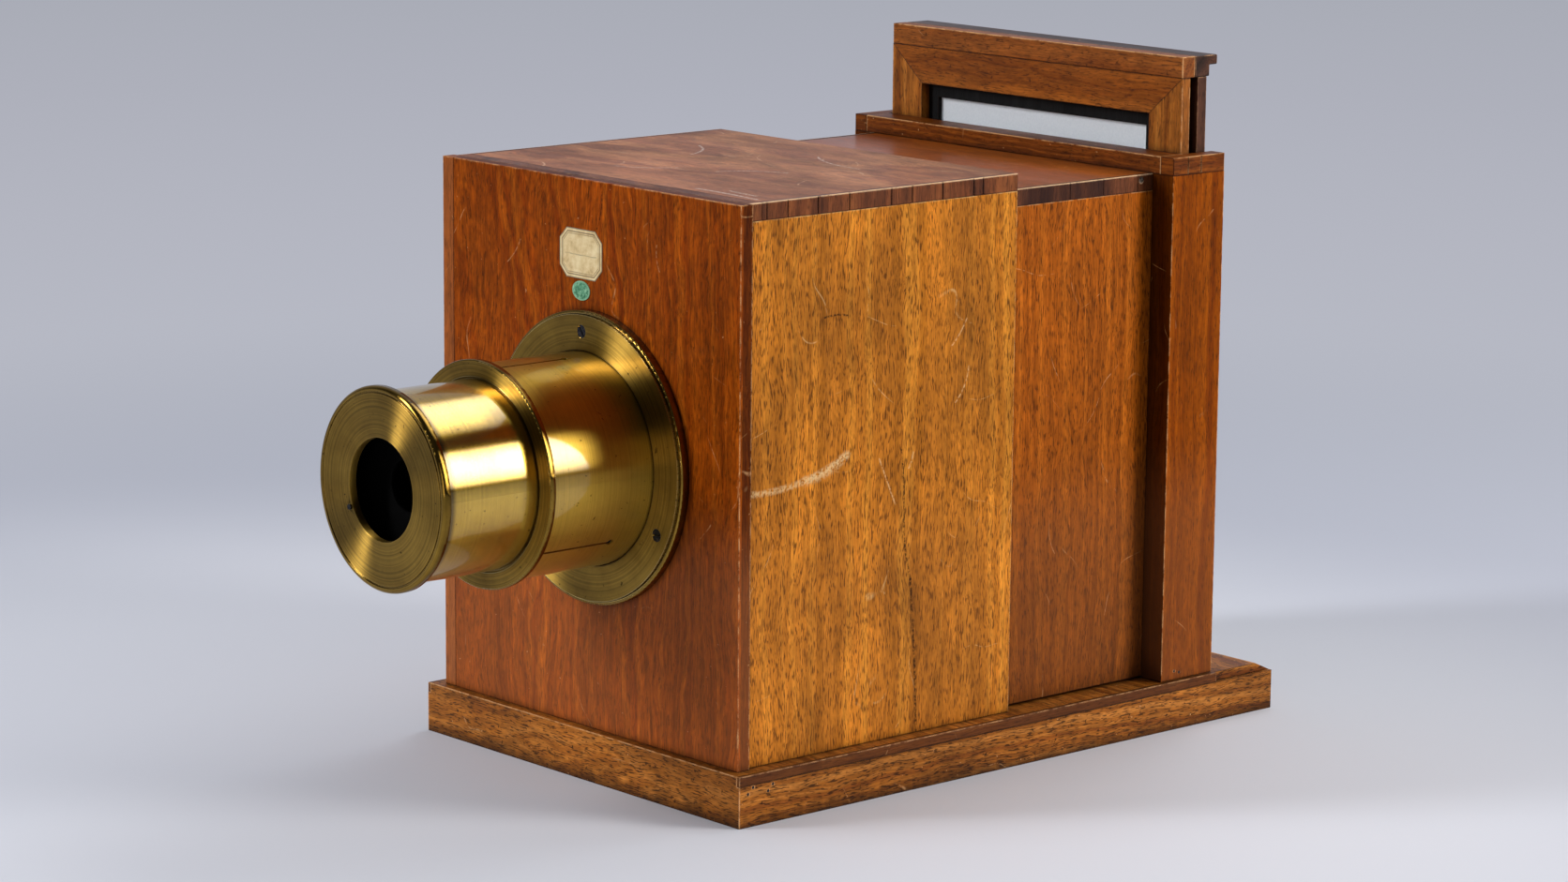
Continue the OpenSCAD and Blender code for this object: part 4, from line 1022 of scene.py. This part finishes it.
# ruled lines across the middle, faded in places
RULE_SPACING_MM = 6.2
WOBBLE_MM = 6.0
height = add(tree, "SeparateXYZ", [in_mm]).outputs["Z"]
wobble = add(tree, "TexNoise", {"Vector": in_mm, "Scale": 1 / WOBBLE_MM, "Detail": 2.0})
rule_height = add(tree, "Math", [wobble, 1.2, height], operation="MULTIPLY_ADD")
rule_wave = add(tree, "Math", [rule_height, RULE_SPACING_MM], operation="PINGPONG")
rule = add(tree, "MapRange", [rule_wave, 0.45, 0.1, 0.0, 0.55])
inside = add(tree, "MapRange", [outline, -4.2, -5.0])
faded = add(tree, "MapRange", [mottle, 0.35, 0.6])
layers.append((joined(tree, "MULTIPLY", rule, inside, faded), "#4a3826"))
cockle = add(tree, "Bump", {"Height": mottle, "Strength": 0.5, "Distance": 0.0006})
label_shader = add(tree, "BsdfPrincipled", {"Base Color": lay_over(tree, label_tone, layers),
    "Roughness": 0.72, "Normal": cockle})
add(tree, "OutputMaterial", {"Surface": label_shader})
give(label, "paper_label")
print("label dressed, layers of ink:", len(layers))

# %% Dress the seal
seal, tree = start_material("green_paper_seal")
low, high = (Vector(corner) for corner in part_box("green_seal"))
half = (high - low) / 2
surface = add(tree, "TexCoord").outputs["Object"]
centred = add(tree, "VectorMath", [surface, (low + high) / 2], operation="SUBTRACT")
unit = add(tree, "VectorMath", [centred, (1 / half.x, 0.0, 1 / half.z)], operation="MULTIPLY")
out = add(tree, "VectorMath", [unit], operation="LENGTH")
fibre = add(tree, "TexNoise", {"Vector": centred, "Scale": 420.0, "Detail": 5.0, "Roughness": 0.7})
seal_tone = add(tree, "ValToRGB", [fibre])
set_stops(seal_tone, ((0.36, "#1a4f35"), (0.50, "#458c66"), (0.64, "#94c2a0")))
rim = add(tree, "MapRange", [out, 0.80, 0.90, 0.0, 0.6])
seal_shader = add(tree, "BsdfPrincipled", {"Base Color": lay_over(tree, seal_tone, [(rim, "#8fc29b")]),
    "Roughness": 0.65})
add(tree, "OutputMaterial", {"Surface": seal_shader})
give(seal, "green_seal")
print("seal dressed,", round(half.x * 2000, 1), "mm wide")

# %% [markdown]
# Floor and background
#
# The object stands on pale studio paper that sweeps up out of sight. A real floor near the object
# takes the shadow; further off it turns into a plain grey of its own brightness, seen by the camera
# and in reflections, so there is no horizon. The world does the same for the rest: the camera sees a
# pale backdrop, while metal sees that backdrop on one side and a darker room on the other, which gives
# it its contrast.

# %% Build the floor
FLOOR_RADIUS = 14.0
FLOOR_SIDES = 96
LIGHT_POOL_MIDDLE = (0.02, -0.34, 0.0)
turns = [math.tau * i / FLOOR_SIDES for i in range(FLOOR_SIDES)]
rim_points = [(FLOOR_RADIUS * math.cos(turn), FLOOR_RADIUS * math.sin(turn), 0.0) for turn in turns]
floor_mesh = bpy.data.meshes.new("studio_floor")
floor_mesh.from_pydata(rim_points, [], [tuple(range(FLOOR_SIDES))])
floor = bpy.data.objects.new("studio_floor", floor_mesh)
bpy.context.scene.collection.objects.link(floor)
floor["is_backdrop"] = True

paper, tree = start_material("studio_paper")
place = add(tree, "TexCoord").outputs["Object"]
distance = add(tree, "VectorMath", [place], operation="LENGTH")
weave = add(tree, "TexNoise", {"Vector": place, "Scale": 400.0, "Detail": 2.0})
paper_bump = add(tree, "Bump", {"Height": weave, "Strength": 0.05, "Distance": 0.0002})
# a pool of light is painted on the paper before the object, so it is paler there
from_light_pool = add(tree, "VectorMath", [place, LIGHT_POOL_MIDDLE], operation="DISTANCE")
painted_light_pool = add(tree, "MapRange", [from_light_pool, 0.46, 1.00], interpolation_type="SMOOTHSTEP")
near_tone = lay_over(tree, linear("#cdd0d8"), [(painted_light_pool, "#aeb2be")])
near = add(tree, "BsdfPrincipled", {"Base Color": near_tone, "Roughness": 0.85, "Specular IOR Level": 0.2,
    "Normal": paper_bump})
far_place = add(tree, "MapRange", [distance, 0.8, 4.8])
far_tone = add(tree, "ValToRGB", [far_place])
set_stops(far_tone, ((0.0, "#b9bcc7"), (0.30, "#b4b6c1"), (0.60, "#aeb0bb"), (1.0, "#a8abb5")))
path = add(tree, "LightPath")
rays = [path.outputs[f"Is {kind} Ray"] for kind in ("Camera", "Glossy", "Transmission")]
glow = add(tree, "Emission", {"Color": far_tone, "Strength": joined(tree, "MAXIMUM", *rays)})
fade = add(tree, "MapRange", [distance, 0.55, 1.5], interpolation_type="SMOOTHSTEP")
sweep = add(tree, "MixShader", [fade, near, glow])
add(tree, "OutputMaterial", {"Surface": sweep})
floor.data.materials.append(paper)
print("floor radius", FLOOR_RADIUS)

# %% Set the world
BACKDROP_WAY = (-0.75, 0.66, 0.10)
world = bpy.data.worlds.new("studio")
bpy.context.scene.world = world
world.use_nodes = True
tree = world.node_tree
tree.nodes.clear()
direction = add(tree, "TexCoord").outputs["Generated"]
towards = add(tree, "VectorMath", [direction, BACKDROP_WAY], operation="DOT_PRODUCT")
behind = add(tree, "MapRange", [towards, 0.15, 0.75], interpolation_type="SMOOTHSTEP")
path = add(tree, "LightPath")
seen = lay_over(tree, linear("#3c3c40"), [(behind, "#b2b5c0"), (path.outputs["Is Camera Ray"], "#a9acb6"),
    (path.outputs["Is Diffuse Ray"], "#8e9096")])
background = add(tree, "Background", {"Color": seen, "Strength": 1.0})
add(tree, "OutputWorld", {"Surface": background})
print("the backdrop lies towards", BACKDROP_WAY)

# %% [markdown]
# Soft lamps
#
# Three large soft lamps do the work: one to the right and behind lights the side and draws the long
# highlight on the tubes, one overhead lights the tops, and one at the left fills the front. A weak
# reflector at the right opens the shadows on the panel. A real softbox is brightest at its middle and
# fades to its edges, so its mirror image on the brass has no hard outline. A plain area lamp is even,
# so a few nodes give it that hump.

# %% Hang the lamps
object_middle = (Vector(cad_low) + Vector(cad_high)) / 2
EVEN_OUT = 36.0


def soft_lamp(name, way, distance_m, width, height, power, tint):
    data = bpy.data.lights.new(name, "AREA")
    data.shape = "RECTANGLE"
    data.size = width
    data.size_y = height
    data.energy = power
    data.color = linear(tint)[:3]
    data.use_nodes = True
    tree = data.node_tree
    tree.nodes.clear()
    across = add(tree, "NewGeometry").outputs["Parametric"]
    ends = add(tree, "VectorMath", [(1.0, 1.0, 1.0), across], operation="SUBTRACT")
    humps = add(tree, "VectorMath", [ends, across], operation="MULTIPLY")
    hump_x, hump_y = add(tree, "SeparateXYZ", [humps]).outputs[:2]
    # each hump has a mean of a sixth, so thirty-six times their product has a mean of one
    bright = joined(tree, "MULTIPLY", hump_x, hump_y, EVEN_OUT)
    emission = add(tree, "Emission", {"Strength": bright})
    add(tree, "OutputLight", {"Surface": emission})
    lamp = bpy.data.objects.new(name, data)
    lamp.location = object_middle + Vector(way).normalized() * distance_m
    lamp.rotation_euler = (object_middle - lamp.location).to_track_quat("-Z", "Y").to_euler()
    bpy.context.scene.collection.objects.link(lamp)
    print(name, "stands at", tuple(round(v, 2) for v in lamp.location))


soft_lamp("key_softbox", (0.76, 0.56, 0.34), 2.2, 0.9, 1.5, 38.0, "#fff9f2")
soft_lamp("overhead_softbox", (-0.05, 0.62, 0.80), 2.3, 2.0, 1.1, 19.0, "#ffffff")
soft_lamp("front_fill", (-0.45, -0.80, 0.50), 2.6, 0.55, 1.9, 47.0, "#fcfcff")
soft_lamp("right_reflector", (0.50, -0.86, 0.02), 2.8, 1.3, 1.8, 10.0, "#fff6ea")

# %% [markdown]
# Close the scene
#
# The last lines note the sizes, so that the dressed model can be compared with the CAD model.

# %% Note the sizes and finish
low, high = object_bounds()
print("dressed box:", tuple(low), tuple(high))
